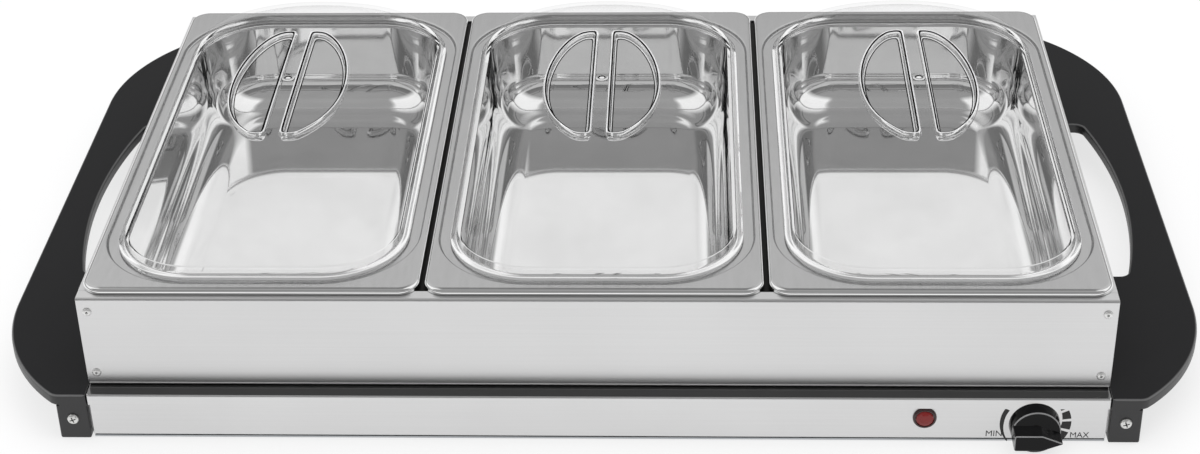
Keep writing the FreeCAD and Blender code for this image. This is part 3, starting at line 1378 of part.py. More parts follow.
def build():
    top_plate()
    front_panel()
    back_panel()
    end_panels()
    bottom_cover()
    cover_screws()
    for word, side in SIDES:
        handle(word, side)
    handle_screws()
    foot_pads()
    heater_element()
    heater_terminals()
    weld_studs()
    heater_clips()
    shield_spacers()
    heat_shield()
    stud_nuts()
    thermostat()
    thermostat_screws()
    thermostat_shaft()
    control_knob()
    lamp()
    cord_bushing()
    terminal_block()
    thermal_fuse()
    internal_wires()
    rack_long_wall("rack_front", rack_front, 1)
    rack_long_wall("rack_back", rack_back, -1)
    for word, side in SIDES:
        rack_side_wall(word, side)
    rack_rivets()
    rack_dividers()
    for step, word in enumerate(PAN_NAMES, start=-1):
        food_pan(word, step)
    lids()
    document.recompute()


def check():
    """Stops before writing if any object failed or any sub-part has no valid solid."""
    failed = [item.Name for item in document.Objects
              if any(word in item.State for word in ("Invalid", "Error"))]
    if failed:
        raise RuntimeError("failed objects: " + ", ".join(failed))
    for item in sub_parts:
        if item.Shape.isNull() or not item.Shape.isValid() or not item.Shape.Solids:
            raise RuntimeError("no valid solid in " + item.Label)


def write():
    os.makedirs("parts", exist_ok=True)
    for item in sub_parts:
        item.Shape.exportStep("parts/{}.step".format(item.Label))
        box = item.Shape.optimalBoundingBox(False)
        print("{:18s} {} solids {:9.0f} mm3  x {:.1f} {:.1f}  y {:.1f} {:.1f}  z {:.1f} {:.1f}".format(
            item.Label, len(item.Shape.Solids), item.Shape.Volume,
            box.XMin, box.XMax, box.YMin, box.YMax, box.ZMin, box.ZMax))


build()
check()
write()
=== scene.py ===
import math

import bmesh
import bpy
import numpy as np
from bpy.props import FloatProperty, FloatVectorProperty, PointerProperty
from bpy.types import Operator, Panel, PropertyGroup
from mathutils import Matrix, Vector
from mathutils.geometry import delaunay_2d_cdt


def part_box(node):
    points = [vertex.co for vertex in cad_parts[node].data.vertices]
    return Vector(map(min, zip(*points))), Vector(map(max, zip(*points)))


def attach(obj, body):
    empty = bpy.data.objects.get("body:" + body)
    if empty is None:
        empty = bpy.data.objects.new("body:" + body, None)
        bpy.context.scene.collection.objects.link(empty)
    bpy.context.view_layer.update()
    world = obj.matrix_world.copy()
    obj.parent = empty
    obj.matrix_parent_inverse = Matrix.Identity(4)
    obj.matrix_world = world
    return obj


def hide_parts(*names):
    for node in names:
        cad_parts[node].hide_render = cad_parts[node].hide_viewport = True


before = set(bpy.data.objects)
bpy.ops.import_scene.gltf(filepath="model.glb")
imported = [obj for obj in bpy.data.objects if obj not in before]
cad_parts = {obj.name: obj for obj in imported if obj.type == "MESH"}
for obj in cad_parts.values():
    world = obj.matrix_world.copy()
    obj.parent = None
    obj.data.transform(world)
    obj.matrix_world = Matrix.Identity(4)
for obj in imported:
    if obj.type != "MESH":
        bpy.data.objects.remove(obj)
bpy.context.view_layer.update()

bl_info = {
    "name": "Electric food warmer tray",
    "version": (1, 0, 0),
    "blender": (4, 5, 0),
    "location": "View3D > Sidebar > Warmer",
    "description": "Three-pan electric food warmer with clear lids",
    "category": "Object",
}

MM = 0.001
PANS = ("left", "center", "right")
TINY = 1e-9  # a length that counts as nought
QUARTER = 24  # steps round a corner of the pans and lids


# ---------------------------------------------------------------- shapes in numpy

def node_box(name):
    """Lowest and highest corner of a CAD node as two arrays in millimetres."""
    low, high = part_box(name)
    return np.array(low) / MM, np.array(high) / MM


def circle(degrees):
    """Points on a circle of radius one: cosine and sine of each angle."""
    turn = np.radians(degrees)
    return np.stack([np.cos(turn), np.sin(turn)], -1)


def full_turn(count):
    """Evenly spaced points all round a circle of radius one."""
    return circle(np.linspace(0, 360, count, endpoint=False))


def arc(centre, radius, start, stop, count):
    """Points on a circle: centre plus radius times cosine and sine of evenly spaced degrees."""
    return np.asarray(centre, float) + radius * circle(np.linspace(start, stop, count))


def outlines(half_x, half_y, radius, turns=QUARTER):
    """Rounded rectangles, one for each entry: quarter circles round four corner centres, anticlockwise."""
    hx, hy, r = (np.asarray(v, float).reshape(-1, 1) for v in (half_x, half_y, radius))
    quarter = np.radians(np.linspace(0, 90, turns + 1))
    parts = []
    for k, (sx, sy) in enumerate(((1, 1), (-1, 1), (-1, -1), (1, -1))):
        turn = quarter + k * math.pi / 2
        parts.append(np.stack([sx * (hx - r) + r * np.cos(turn), sy * (hy - r) + r * np.sin(turn)], -1))
    return np.concatenate(parts, 1)


def rounded(points, radius, steps=6):
    """An open path with each inner corner replaced by an arc tangent to both of its runs."""
    points = np.asarray(points, float)
    radii = np.broadcast_to(radius, (len(points),))
    path = [points[0]]
    for before, corner, after, r in zip(points[:-2], points[1:-1], points[2:], radii[1:-1]):
        a = (before - corner) / np.linalg.norm(before - corner)
        b = (after - corner) / np.linalg.norm(after - corner)
        half = math.acos(float(np.clip(a @ b, -1, 1))) / 2
        middle = corner + (a + b) / np.linalg.norm(a + b) * r / math.sin(half)
        first, last = corner + a * r / math.tan(half), corner + b * r / math.tan(half)
        u, v = (first - middle) / r, (last - middle) / r
        angle = math.acos(float(np.clip(u @ v, -1, 1)))
        t = np.linspace(0, 1, steps + 1)[:, None]
        path.extend(middle + r * (np.sin((1 - t) * angle) * u + np.sin(t * angle) * v) / math.sin(angle))
    path.append(points[-1])
    return np.array(path)


def closed_round(points, radius, steps):
    """A closed path with every corner replaced by a tangent arc, each corner having its own radius."""
    points = np.asarray(points, float)
    radii = np.broadcast_to(radius, (len(points),))
    ring = np.vstack([points[-1:], points, points[:1]])
    path = rounded(ring, np.concatenate([[0], radii, [0]]), steps)
    return path[1:-1]


def normals_2d(path, closed):
    """Unit normals on the left of a plane path, from the mean direction of the two runs at each point."""
    if closed:
        before, after = np.roll(path, 1, 0), np.roll(path, -1, 0)
    else:
        before = np.vstack([path[:1], path[:-1]])
        after = np.vstack([path[1:], path[-1:]])
    a, b = path - before, after - path
    la, lb = (np.linalg.norm(v, axis=1, keepdims=True) for v in (a, b))
    a, b = a / np.maximum(la, TINY), b / np.maximum(lb, TINY)
    along = a * (la > TINY) + b * (lb > TINY)
    along /= np.maximum(np.linalg.norm(along, axis=1, keepdims=True), TINY)
    left = np.stack([-along[:, 1], along[:, 0]], -1)
    bend = np.sqrt(np.clip((1 + (a * b).sum(1, keepdims=True)) / 2, 0.05, 1))
    return left / np.where((la > TINY) & (lb > TINY), bend, 1)


class Skin:
    """Points and faces gathered from grids, in millimetres, and made into one mesh object."""

    def __init__(self):
        self.points, self.faces, self.marks, self.count = [], [], [], 0

    def loose(self, points, faces, mark=0):
        """Points with faces that index them."""
        points = np.asarray(points, float)
        self.points.append(points)
        self.faces.extend([tuple(int(i) + self.count for i in face) for face in faces])
        self.marks.extend([mark] * len(faces))
        self.count += len(points)

    def grid(self, points, wrap_u=False, wrap_v=False, mark=0):
        """Four-sided faces over an array of points [u, v, xyz], closed along u or v where asked."""
        points = np.asarray(points, float)
        index = np.arange(points.shape[0] * points.shape[1]).reshape(points.shape[:2])
        index = np.vstack([index, index[:1]]) if wrap_u else index
        index = np.hstack([index, index[:, :1]]) if wrap_v else index
        quads = np.stack([index[:-1, :-1], index[1:, :-1], index[1:, 1:], index[:-1, 1:]], -1)
        self.loose(points.reshape(-1, 3), quads.reshape(-1, 4), mark)

    def tube(self, rings, mark=0, ends=(True, True)):
        """Rings [ring, point, xyz] skinned into a closed shell, with a flat face at each end asked for."""
        rings = np.asarray(rings, float)
        self.grid(rings, wrap_v=True, mark=mark)
        for wanted, ring in zip(ends, (rings[0], rings[-1])):
            if wanted:
                self.loose(ring, [tuple(range(len(ring)))], mark)

    def build(self, name, slots, sharp=35, bevel=0.0, weighted=True):
        """The object: doubles merged, faces turned outwards, smooth, with creases sharper than the angle kept."""
        mesh = bpy.data.meshes.new(name)
        mesh.from_pydata((np.vstack(self.points) * MM).tolist(), [], self.faces)
        for slot in slots:
            mesh.materials.append(finish_of(slot))
        mesh.polygons.foreach_set("material_index", self.marks)
        work = bmesh.new()
        work.from_mesh(mesh)
        bmesh.ops.remove_doubles(work, verts=work.verts, dist=2e-6)
        bmesh.ops.dissolve_degenerate(work, edges=work.edges, dist=1e-7)
        bmesh.ops.recalc_face_normals(work, faces=work.faces)
        work.to_mesh(mesh)
        work.free()
        piece = bpy.data.objects.new(name, mesh)
        bpy.context.scene.collection.objects.link(piece)
        mesh.shade_smooth()
        mesh.set_sharp_from_angle(angle=math.radians(sharp))
        if bevel:
            edge = piece.modifiers.new("rounded edges", "BEVEL")
            edge.width = bevel * MM
            edge.segments = 2
            edge.limit_method = "ANGLE"
            edge.angle_limit = math.radians(40)
        if weighted:
            flat = piece.modifiers.new("flat faces stay flat", "WEIGHTED_NORMAL")
            flat.keep_sharp = True
        return piece


def lift(plane, heights):
    """Plane points [.., 2] given a height each: the third column."""
    plane = np.asarray(plane, float)
    third = np.broadcast_to(np.asarray(heights, float)[..., None], plane.shape[:-1] + (1,))
    return np.concatenate([plane, third], -1)


def facing(points, centre, axis):
    """Local points whose third number runs out of the front or the back, set with their origin on the centre."""
    x, y, z = np.moveaxis(np.asarray(points, float), -1, 0)
    turned = {"front": (x, -z, y), "back": (-x, z, y)}[axis]
    return np.stack(turned, -1) + np.asarray(centre, float)


def revolved(profile, centre, axis, turns):
    """A profile of radius and height turned about an axis: radius times cosine and sine, height along it."""
    profile = np.asarray(profile, float)
    return facing(lift(profile[:, :1, None] * full_turn(turns), profile[:, 1:]), centre, axis)


def filled(skin, loops, surface, dots=(), turned=None):
    """A plane face with holes: the first loop is its edge, the others are holes, and dots are points inside it.
    Surface is its height, or a function that gives the height of each point; turned sets the points in place."""
    points, edges = [], []
    for loop in loops:
        first = len(points)
        points.extend(Vector(p) for p in loop)
        edges.extend((first + i, first + (i + 1) % len(loop)) for i in range(len(loop)))
    points.extend(Vector(p) for p in dots)
    flat, _, faces, _, _, _ = delaunay_2d_cdt(points, edges, [], 1, 1e-5)
    flat = np.array([tuple(p) for p in flat])
    centres = np.array([flat[list(face)].mean(0) for face in faces])
    keep = inside(loops[0], centres)
    for hole in loops[1:]:
        keep &= ~inside(hole, centres)
    solid = lift(flat, surface(flat) if callable(surface) else surface)
    skin.loose(turned(solid) if turned else solid, [face for face, k in zip(faces, keep) if k])


def inside(loop, points):
    """Which points lie in a closed loop, by counting the edges that a ray to the right of each one crosses."""
    a, b = loop, np.roll(loop, -1, 0)
    x, y = points[:, :1], points[:, 1:2]
    spans = (a[:, 1] > y) != (b[:, 1] > y)
    with np.errstate(divide="ignore", invalid="ignore"):
        cross = a[:, 0] + (y - a[:, 1]) / (b[:, 1] - a[:, 1]) * (b[:, 0] - a[:, 0])
    return (spans & (x < cross)).sum(1) % 2 == 1


SHEET = 1.0  # thickness of the folded steel
FOLD_EDGE = 0.15  # rounding of its cut edges


def along_x(section, x):
    """A section of depth and height points, set at one place along the width."""
    return np.column_stack([np.full(len(section), x), section])


def sheet_strip(skin, corners, bend, low_x, high_x):
    """A folded sheet: a path with rounded bends, its two sides half the thickness away, carried along the width."""
    path = rounded(corners, bend)
    side = normals_2d(path, False) * SHEET / 2
    section = np.vstack([path + side, (path - side)[::-1]])
    rings = np.stack([along_x(section, x) for x in (low_x, high_x)])
    skin.grid(rings, wrap_v=True)
    count = len(path)
    caps = [(i, i + 1, 2 * count - 2 - i, 2 * count - 1 - i) for i in range(count - 1)]
    for ring in rings:
        skin.loose(ring, caps)


# ---------------------------------------------------------------- material tools

def srgb(text):
    """Linear colour, with alpha one, of an sRGB hex value."""
    parts = [int(text[i:i + 2], 16) / 255 for i in (0, 2, 4)]
    return tuple(p / 12.92 if p <= 0.04045 else ((p + 0.055) / 1.055) ** 2.4 for p in parts) + (1.0,)


def wire(tree, node, links):
    """Links outputs to a node's inputs, each given by its name or number."""
    for key, source in links.items():
        tree.links.new(source, node.inputs[key])


def add(tree, kind, values=(), links=(), **settings):
    """One node of the kind named, with its settings, its input values and the outputs linked to its inputs."""
    node = tree.nodes.new("ShaderNode" + kind)
    for key, value in settings.items():
        setattr(node, key, value)
    for key, value in dict(values).items():
        node.inputs[key].default_value = value
    wire(tree, node, dict(links))
    return node


def ramp(node, *stops):
    """Sets a Color Ramp's stops, each a place and a colour or a grey level."""
    elements = node.color_ramp.elements
    while len(elements) < len(stops):
        elements.new(0.5)
    for element, (place, colour) in zip(elements, stops):
        element.position = place
        element.color = colour if hasattr(colour, "__len__") else (colour, colour, colour, 1)
    return node


def material(name):
    """A new material with nodes, its tree, its Principled shader and its output."""
    made = bpy.data.materials.new(name)
    made.use_nodes = True
    tree = made.node_tree
    return made, tree, tree.nodes["Principled BSDF"], tree.nodes["Material Output"]


def set_all(node, **values):
    """Puts constant values on a shader's own sockets; underscores in the names stand for spaces."""
    for key, value in values.items():
        node.inputs[key.replace("_", " ")].default_value = value


def darker(colour, share):
    """A colour less a share of its light."""
    return tuple(c * (1 - share) for c in colour[:3]) + (1,)


def clouded(name, colour, low, high, spread, noise, stops, stretch=None):
    """A new material whose noise, laid in object coordinates, moves the roughness from low to high and the colour
    from a darker one to its own between two stops. Returns it, its tree, shader, coordinates, noise and tint."""
    made, tree, shader, _ = material(name)
    place = add(tree, "TexCoord").outputs["Object"]
    laid = add(tree, "Mapping", {"Scale": stretch}, {"Vector": place}).outputs["Vector"] if stretch else place
    level = add(tree, "TexNoise", noise, {"Vector": laid}).outputs["Fac"]
    rough = add(tree, "MapRange", {"To Min": low, "To Max": high}, {"Value": level}).outputs["Result"]
    tint = ramp(add(tree, "ValToRGB", links={"Fac": level}), (stops[0], darker(colour, spread)), (stops[1], colour))
    tint = tint.outputs["Color"]
    wire(tree, shader, {"Base Color": tint, "Roughness": rough})
    return made, tree, shader, place, level, tint


def brushed(name, colour, low, high, stretch, bump=0.02, shift=0.04):
    """Cold-rolled sheet with a directional finish: long fine scratches blur what it reflects along one way."""
    scratches = {"Scale": 1.0, "Detail": 6.0, "Roughness": 0.65}
    made, tree, shader, place, lines, tint = clouded(
        name, colour, low, high, shift * 2.2, scratches, (0.3, 0.72), stretch)
    cloud = add(tree, "TexNoise", {"Scale": 14.0, "Detail": 2.0}, {"Vector": place}).outputs["Fac"]
    soft = ramp(add(tree, "ValToRGB", links={"Fac": cloud}), (0.3, 0.9), (0.7, 1.0)).outputs["Color"]
    mixed = add(tree, "Mix", {"Factor": 0.35}, {6: tint, 7: soft}, data_type="RGBA", blend_type="MULTIPLY")
    relief = add(tree, "Bump", {"Strength": bump, "Distance": 0.0002}, {"Height": lines}).outputs["Normal"]
    wire(tree, shader, {"Base Color": mixed.outputs[2], "Normal": relief})
    set_all(shader, Metallic=1.0)
    return made


def polished(name, colour, low, high, scale=60.0, spread=0.07):
    """Drawn and buffed metal: near a mirror, under an uneven haze of fine buffing marks."""
    haze = {"Scale": scale, "Detail": 5.0, "Roughness": 0.6}
    made, _, shader, *_ = clouded(name, colour, low, high, spread, haze, (0.25, 0.75))
    set_all(shader, Metallic=1.0)
    return made


def moulded(name, colour, low, high, grain, bump, coat=0.0, spread=0.12, matt_top_lit_edge=False, gloss=0.5):
    """Injection-moulded plastic: a fine spark-eroded grain scatters the light, with slight gloss changes.
    With a matt top the faces that look up come from an etched half of the mould and return little light, and the
    rounded edge round them is painted a paler grey as a highlight."""
    made, tree, shader, place, _, tint = clouded(
        name, colour, low, high, spread, {"Scale": 22.0, "Detail": 2.0}, (0.3, 0.7))
    grains = {"Scale": grain, "Detail": 3.0, "Roughness": 0.6}
    spots = add(tree, "TexNoise", grains, {"Vector": place}).outputs["Fac"]
    relief = add(tree, "Bump", {"Strength": bump, "Distance": 0.00015}, {"Height": spots}).outputs["Normal"]
    wire(tree, shader, {"Normal": relief})
    set_all(shader, IOR=1.5, Coat_Weight=coat, Coat_Roughness=0.08, Specular_IOR_Level=gloss)
    if matt_top_lit_edge:
        up = add(tree, "SeparateXYZ", links={"Vector": add(tree, "NewGeometry").outputs["Normal"]}).outputs["Z"]
        fall = {"From Min": 0.85, "From Max": 0.99, "To Min": 0.6, "To Max": 0.06}
        level = add(tree, "MapRange", fall, {"Value": up}).outputs["Result"]
        # painted highlight: the rounded edges, between side and top, are mixed towards a paler grey
        edge_highlight_mask = ramp(add(tree, "ValToRGB", links={"Fac": up}), (0.2, 0.0), (0.55, 1.0), (0.75, 1.0), (0.96, 0.0))
        edge_highlight = add(tree, "Mix", {7: srgb("5c5c5c")}, {0: edge_highlight_mask.outputs["Color"], 6: tint}, data_type="RGBA")
        wire(tree, shader, {"Specular IOR Level": level, "Base Color": edge_highlight.outputs[2]})
    return made


def clear_plastic(name):
    """Clear injection-moulded SAN where the wall is even: no bending, a faint grey where it is seen edge on."""
    made, tree, shader, output = material(name)
    place = add(tree, "TexCoord").outputs["Object"]
    cloud = add(tree, "TexNoise", {"Scale": 30.0, "Detail": 2.0}, {"Vector": place}).outputs["Fac"]
    tint = ramp(add(tree, "ValToRGB", links={"Fac": cloud}), (0.3, srgb("fcfcfc")), (0.7, srgb("ffffff")))
    edge = add(tree, "LayerWeight", {"Blend": 0.5}).outputs["Facing"]
    edge = add(tree, "Math", {1: 5.0}, {0: edge}, operation="POWER").outputs[0]
    shade = add(tree, "Mix", {7: srgb("f6f6f6")}, {0: edge, 6: tint.outputs["Color"]}, data_type="RGBA")
    through = add(tree, "BsdfTransparent", links={"Color": shade.outputs[2]})
    shine = add(tree, "BsdfGlossy", {"Color": srgb("ffffff"), "Roughness": 0.02})
    behind = add(tree, "NewGeometry").outputs["Backfacing"]
    outside = add(tree, "Math", {0: 1.0}, {1: behind}, operation="SUBTRACT").outputs[0]
    part = add(tree, "MapRange", {"To Min": 0.004, "To Max": 0.2}, {"Value": edge}).outputs["Result"]
    part = add(tree, "Math", links={0: part, 1: outside}, operation="MULTIPLY").outputs[0]
    mixed = add(tree, "MixShader", links={"Fac": part, 1: through.outputs["BSDF"], 2: shine.outputs["BSDF"]})
    wire(tree, output, {"Surface": mixed.outputs["Shader"]})
    tree.nodes.remove(shader)
    return made


def moulded_clear(name):
    """The same clear SAN where it is thick, at its rim and round the thumb pockets: it bends what lies behind, and
    where it is seen along its wall its colour turns dark grey as painted shade."""
    made, tree, shader, output = material(name)
    place = add(tree, "TexCoord").outputs["Object"]
    wave = add(tree, "TexNoise", {"Scale": 60.0, "Detail": 1.0}, {"Vector": place}).outputs["Fac"]
    haze = add(tree, "MapRange", {"To Min": 0.0, "To Max": 0.02}, {"Value": wave}).outputs["Result"]
    relief = add(tree, "Bump", {"Strength": 0.1, "Distance": 0.001}, {"Height": wave}).outputs["Normal"]
    slant = add(tree, "LayerWeight", {"Blend": 0.5}).outputs["Facing"]
    # painted shade: the colour that passes turns dark grey where the wall is seen edge on
    tint = ramp(add(tree, "ValToRGB", links={"Fac": slant}), (0.55, srgb("ffffff")), (0.92, srgb("3a3c3c")))
    wire(tree, shader, {"Roughness": haze, "Normal": relief, "Base Color": tint.outputs["Color"]})
    set_all(shader, IOR=1.5, Transmission_Weight=1.0)
    through = add(tree, "BsdfTransparent", {"Color": srgb("f6f6f6")})
    shadow = add(tree, "LightPath").outputs["Is Shadow Ray"]
    mixed = add(tree, "MixShader", links={"Fac": shadow, 1: shader.outputs["BSDF"], 2: through.outputs["BSDF"]})
    wire(tree, output, {"Surface": mixed.outputs["Shader"]})
    return made


def rolled_clear(name, tint, share):
    """Clear SAN on the tight roll of an edge, as a shaded and a lit copy of one material: the shaded copy passes a dark
    tint as painted shade, the lit copy scatters white as a painted highlight line. Tint is what passes, share is how
    much of it is scattered white."""
    made, tree, shader, output = material(name)
    place = add(tree, "TexCoord").outputs["Object"]
    wave = add(tree, "TexNoise", {"Scale": 40.0, "Detail": 2.0}, {"Vector": place}).outputs["Fac"]
    part = add(tree, "MapRange", {"To Min": share * 0.6, "To Max": share * 1.3}, {"Value": wave}).outputs["Result"]
    through = add(tree, "BsdfTransparent", {"Color": tint})
    set_all(shader, Base_Color=srgb("ffffff"), Roughness=0.15, IOR=1.5)
    mixed = add(tree, "MixShader", links={"Fac": part, 1: through.outputs["BSDF"], 2: shader.outputs["BSDF"]})
    wire(tree, output, {"Surface": mixed.outputs["Shader"]})
    return made


LENGTHWISE = (6.0, 900.0, 900.0)  # scratches along the width, coarser than the real 0.05 mm grit so that they show


def make_materials():
    """Every finish of the warmer by its slot name."""
    colours = bpy.context.scene.warmer_colours
    black, red = tuple(colours.handle) + (1.0,), tuple(colours.lamp) + (1.0,)
    return {
        "steel_satin": brushed("brushed stainless steel", srgb("dfdfdf"), 0.30, 0.40, LENGTHWISE, 0.02, 0.02),
        # painted shade: the plate's grey is darker than the steel's own, standing in for shade on it
        "steel_polished": polished("polished stainless plate, darkened as painted shade", srgb("7d7d7d"), 0.10, 0.16),
        # painted shade: the dividers are near black, for the shade in the gaps between the pans
        "steel_dull": polished("dull stainless steel painted near black as shade", srgb("1e1d1c"), 0.4, 0.5, 300.0),
        "pan_steel": polished("buffed deep-drawn steel", srgb("f4f4f4"), 0.030, 0.042, 60.0, 0.02),
        "pan_rim": brushed("satin stainless flange", srgb("c2c2c2"), 0.17, 0.25, (300.0, 40.0, 40.0), 0.01),
        # partly painted highlight: the bead is a lighter grey than the sheet, and its rougher finish catches the lamps
        "steel_bead": brushed("linished stainless bead, lightened as a painted highlight", srgb("f4f4f4"), 0.5, 0.6, LENGTHWISE, 0.02, 0.02),
        "steel_plated": brushed("zinc-plated steel", srgb("b9bcbf"), 0.34, 0.5, (180.0, 180.0, 180.0), 0.05),
        "screw_steel": polished("nickel-plated screw steel", srgb("e2e2e0"), 0.3, 0.42, 900.0),
        # painted shade: the cross recess of each screw is a dark grey
        "screw_recess": polished("screw recess painted dark as shade", srgb("3c3b39"), 0.4, 0.55, 900.0),
        "rivet_aluminium": polished("blind-rivet aluminium", srgb("f4f4f3"), 0.45, 0.55, 700.0),
        "shield_aluminium": brushed("mill-finish aluminium", srgb("c8cacb"), 0.3, 0.45, (5.0, 600.0, 600.0), 0.05),
        "heater_sheath": polished("annealed heater sheath", srgb("6d6a66"), 0.35, 0.55, 400.0),
        # the handles' rounded edges carry a painted highlight, a paler grey, through the lit-edge option
        "black_plastic": moulded("black bakelite", black, 0.36, 0.44, 1600.0, 0.1, matt_top_lit_edge=True),
        "knob_plastic": moulded("gloss black ABS", srgb("0d0d0e"), 0.10, 0.18, 900.0, 0.02, 0.0, gloss=0.16),
        # painted highlight: the knob's rounded edges are a pale grey
        "knob_edge": moulded(
            "gloss black ABS, painted highlight on its edges", srgb("8a8a8a"), 0.2, 0.3, 900.0, 0.02, 0.2, 0.5),
        "white_plastic": moulded("white nylon", srgb("e6e4de"), 0.35, 0.5, 900.0, 0.1),
        "foot_rubber": moulded("black rubber", srgb("1c1c1c"), 0.6, 0.8, 700.0, 0.4),
        "lid_clear": clear_plastic("clear moulded SAN"),
        "lid_edge": moulded_clear("clear SAN where it is thick"),
        "lid_dark": rolled_clear("clear SAN, shaded side of a rolled edge", srgb("2b2b2b"), 0.0),
        "lid_bright": rolled_clear("clear SAN, lit side of a rolled edge", srgb("f4f4f4"), 0.55),
        "lamp_ring": moulded("dark red polycarbonate", srgb("2c0606"), 0.2, 0.3, 900.0, 0.02, 0.3),
        "lamp_red": moulded("red polycarbonate lens", red, 0.2, 0.3, 600.0, 0.02, 0.0, 0.5),
        "terminal_brass": polished("brass", srgb("c9a860"), 0.25, 0.4, 400.0),
        "wire_cover": moulded("silicone wire cover", srgb("b6342c"), 0.45, 0.6, 500.0, 0.1),
        "dial_print": moulded("black screen print", srgb("1d1d1d"), 0.5, 0.6, 900.0, 0.05),
    }


FINISHES = {}


def finish_of(slot):
    """The material of a slot; all of them are made at the first call."""
    if not FINISHES:
        FINISHES.update(make_materials())
    return FINISHES[slot]


def place_piece(piece, body, node):
    """The piece rides on the body and stands for the node."""
    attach(piece, body)
    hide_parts(node)


# ---------------------------------------------------------------- pans

FLANGE, MOUTH, WELL = 0, 1, 2
PAN_INSETS = ((0, 0), (4.2, 6.0), (14.4, 16.2))  # how far each of the three outlines lies within the pan's edge
PAN_CORNERS = (11.0, 50.0, 39.8)  # and the radius of its corners
LIP_DROP, LEDGE_DROP = 3.4, 2.4  # heights of the flange above its own lip and above the lid's ledge
LEDGE_ROUND, WELL_ROLL, FLOOR_ROUND = 0.8, 1.5, 22.0  # at the ledge's foot, into the well, and at its floor
RIM_FROM, RIM_TO = 7, 24  # the section's rows between which the flange and the ledge are satin


def pan_section(sizes, top, floor, skin):
    """Section of a pan from its lip to its floor: outline number, offset outwards and height.
    Skin is nought for the upper face, and the sheet's thickness for the lower one."""
    roll, edge = sizes.pan_roll / MM, sizes.mouth_roll / MM
    ledge, slope = top - LEDGE_DROP, math.radians(sizes.draft)
    rim = WELL_ROLL * (1 - math.sin(slope)) / math.cos(slope)
    rise = ledge - floor - FLOOR_ROUND
    inset = (FLOOR_ROUND + rise * math.sin(slope)) / math.cos(slope)
    bends = (
        (FLANGE, (-roll, top - roll), roll - skin, 0, 90, 9),
        (MOUTH, (edge, top - edge), edge - skin, 90, 180, 7),
        (MOUTH, (-LEDGE_ROUND, ledge + LEDGE_ROUND), LEDGE_ROUND + skin, 0, -90, 6),
        (WELL, (rim, ledge - WELL_ROLL), WELL_ROLL - skin, 90, 180 - sizes.draft, 8),
        (WELL, (-inset, ledge - rise), FLOOR_ROUND + skin, -sizes.draft, -90, 22),
    )
    rows = [(FLANGE, -skin, top - LIP_DROP)]
    rows += [(number, *point) for number, *bend in bends for point in arc(*bend)]
    return np.array(rows)


class WARMER_OT_pans(Operator):
    """Three deep-drawn pans with rolled flanges, a ledge for the lid and a tapered well"""

    bl_idname = "warmer.pans"
    bl_label = "Pans"

    def execute(self, context):
        sizes = context.scene.warmer_sizes
        wall = sizes.pan_wall / MM
        for name in PANS:
            low, high = node_box("pan_" + name)
            shapes = np.column_stack([(high - low)[:2] / 2 - PAN_INSETS, PAN_CORNERS])
            upper, lower = (pan_section(sizes, high[2], low[2] + wall, thick) for thick in (0.0, wall))
            rows = np.vstack([lower[::-1], upper])
            grown = shapes[rows[:, 0].astype(int)] + rows[:, 1:2]
            rings = lift(outlines(*grown.T) + (low + high)[:2] / 2, rows[:, 2:3])
            first, last = len(lower) + RIM_FROM, len(lower) + RIM_TO
            skin = Skin()
            skin.tube(rings[:first], ends=(True, False))
            skin.tube(rings[first - 1:last], mark=1, ends=(False, False))
            skin.tube(rings[last - 1:], ends=(False, True))
            piece = skin.build("pan_%s_drawn" % name, ("pan_steel", "pan_rim"), sharp=60)
            place_piece(piece, "pan_" + name, "pan_" + name)
        return {"FINISHED"}


# ---------------------------------------------------------------- lids

LID_WALL = 1.8
OUTER_FOOT, INNER_FOOT = (75.1, 147.4, 40.9), (73.3, 145.6, 39.1)  # half sides and corner of the dome's two faces
LID_RIM, RIM_ROUND = (78.6, 150.9, 44.4), 1.2  # the flat rim's, and the round where the dome stands on it
CAP_LEVEL, SIDE_ROWS = 0.86, 26  # the dome's sides are rows up to here, and its cap is filled in one piece
POCKET_X, POCKET_Y = 31.5, 65.0  # half sides of the oval that the two thumb pockets share
BAR_HALF, POCKET_END, BLEND = 5.6, 60.8, 3.0  # half the bar's width, the pockets' ends, and how softly these join
# DARK and BRIGHT mark the painted shade and painted highlight copies on the rolled edges
CLEAR, THICK, DARK, BRIGHT = 0, 1, 2, 3
STUD_RISE = 0.7  # of the moulding mark above the dome
LID_SLOTS = ("lid_clear", "lid_edge", "lid_dark", "lid_bright")


class Dome:
    """A lid's dome: at each level the section is a rounded rectangle, whose half sides fall as powers of one less
    the level squared."""

    def __init__(self, half_x, half_y, corner, foot, rise):
        self.half_x, self.half_y, self.corner, self.foot, self.rise = half_x, half_y, corner, foot, rise

    def shape(self, level):
        """Half sides and corner radius at a level from nought at the foot to one at the top."""
        left = np.clip(1 - level * level, 1e-9, 1)
        hx, hy = self.half_x * left ** (1 / 2.2), self.half_y * left ** (1 / 3.75)
        return hx, hy, np.minimum(self.corner * (1 + level * level), 0.97 * np.minimum(hx, hy))

    def level(self, points):
        """The level whose outline passes through each point, found by halving the range."""
        x, y = np.abs(points[..., 0]), np.abs(points[..., 1])
        low, high = np.zeros_like(x), np.ones_like(x)
        for _ in range(34):
            middle = (low + high) / 2
            hx, hy, r = self.shape(middle)
            qx, qy = x - hx + r, y - hy + r
            out = np.hypot(np.maximum(qx, 0), np.maximum(qy, 0)) + np.minimum(np.maximum(qx, qy), 0) - r
            low, high = np.where(out < 0, middle, low), np.where(out < 0, high, middle)
        return (low + high) / 2

    def height(self, points):
        """Height of the dome over each point."""
        return self.foot + self.rise * self.level(points)

    def rings(self, levels):
        """Outline points at each level."""
        return lift(outlines(*self.shape(levels)), (self.foot + self.rise * levels)[:, None])


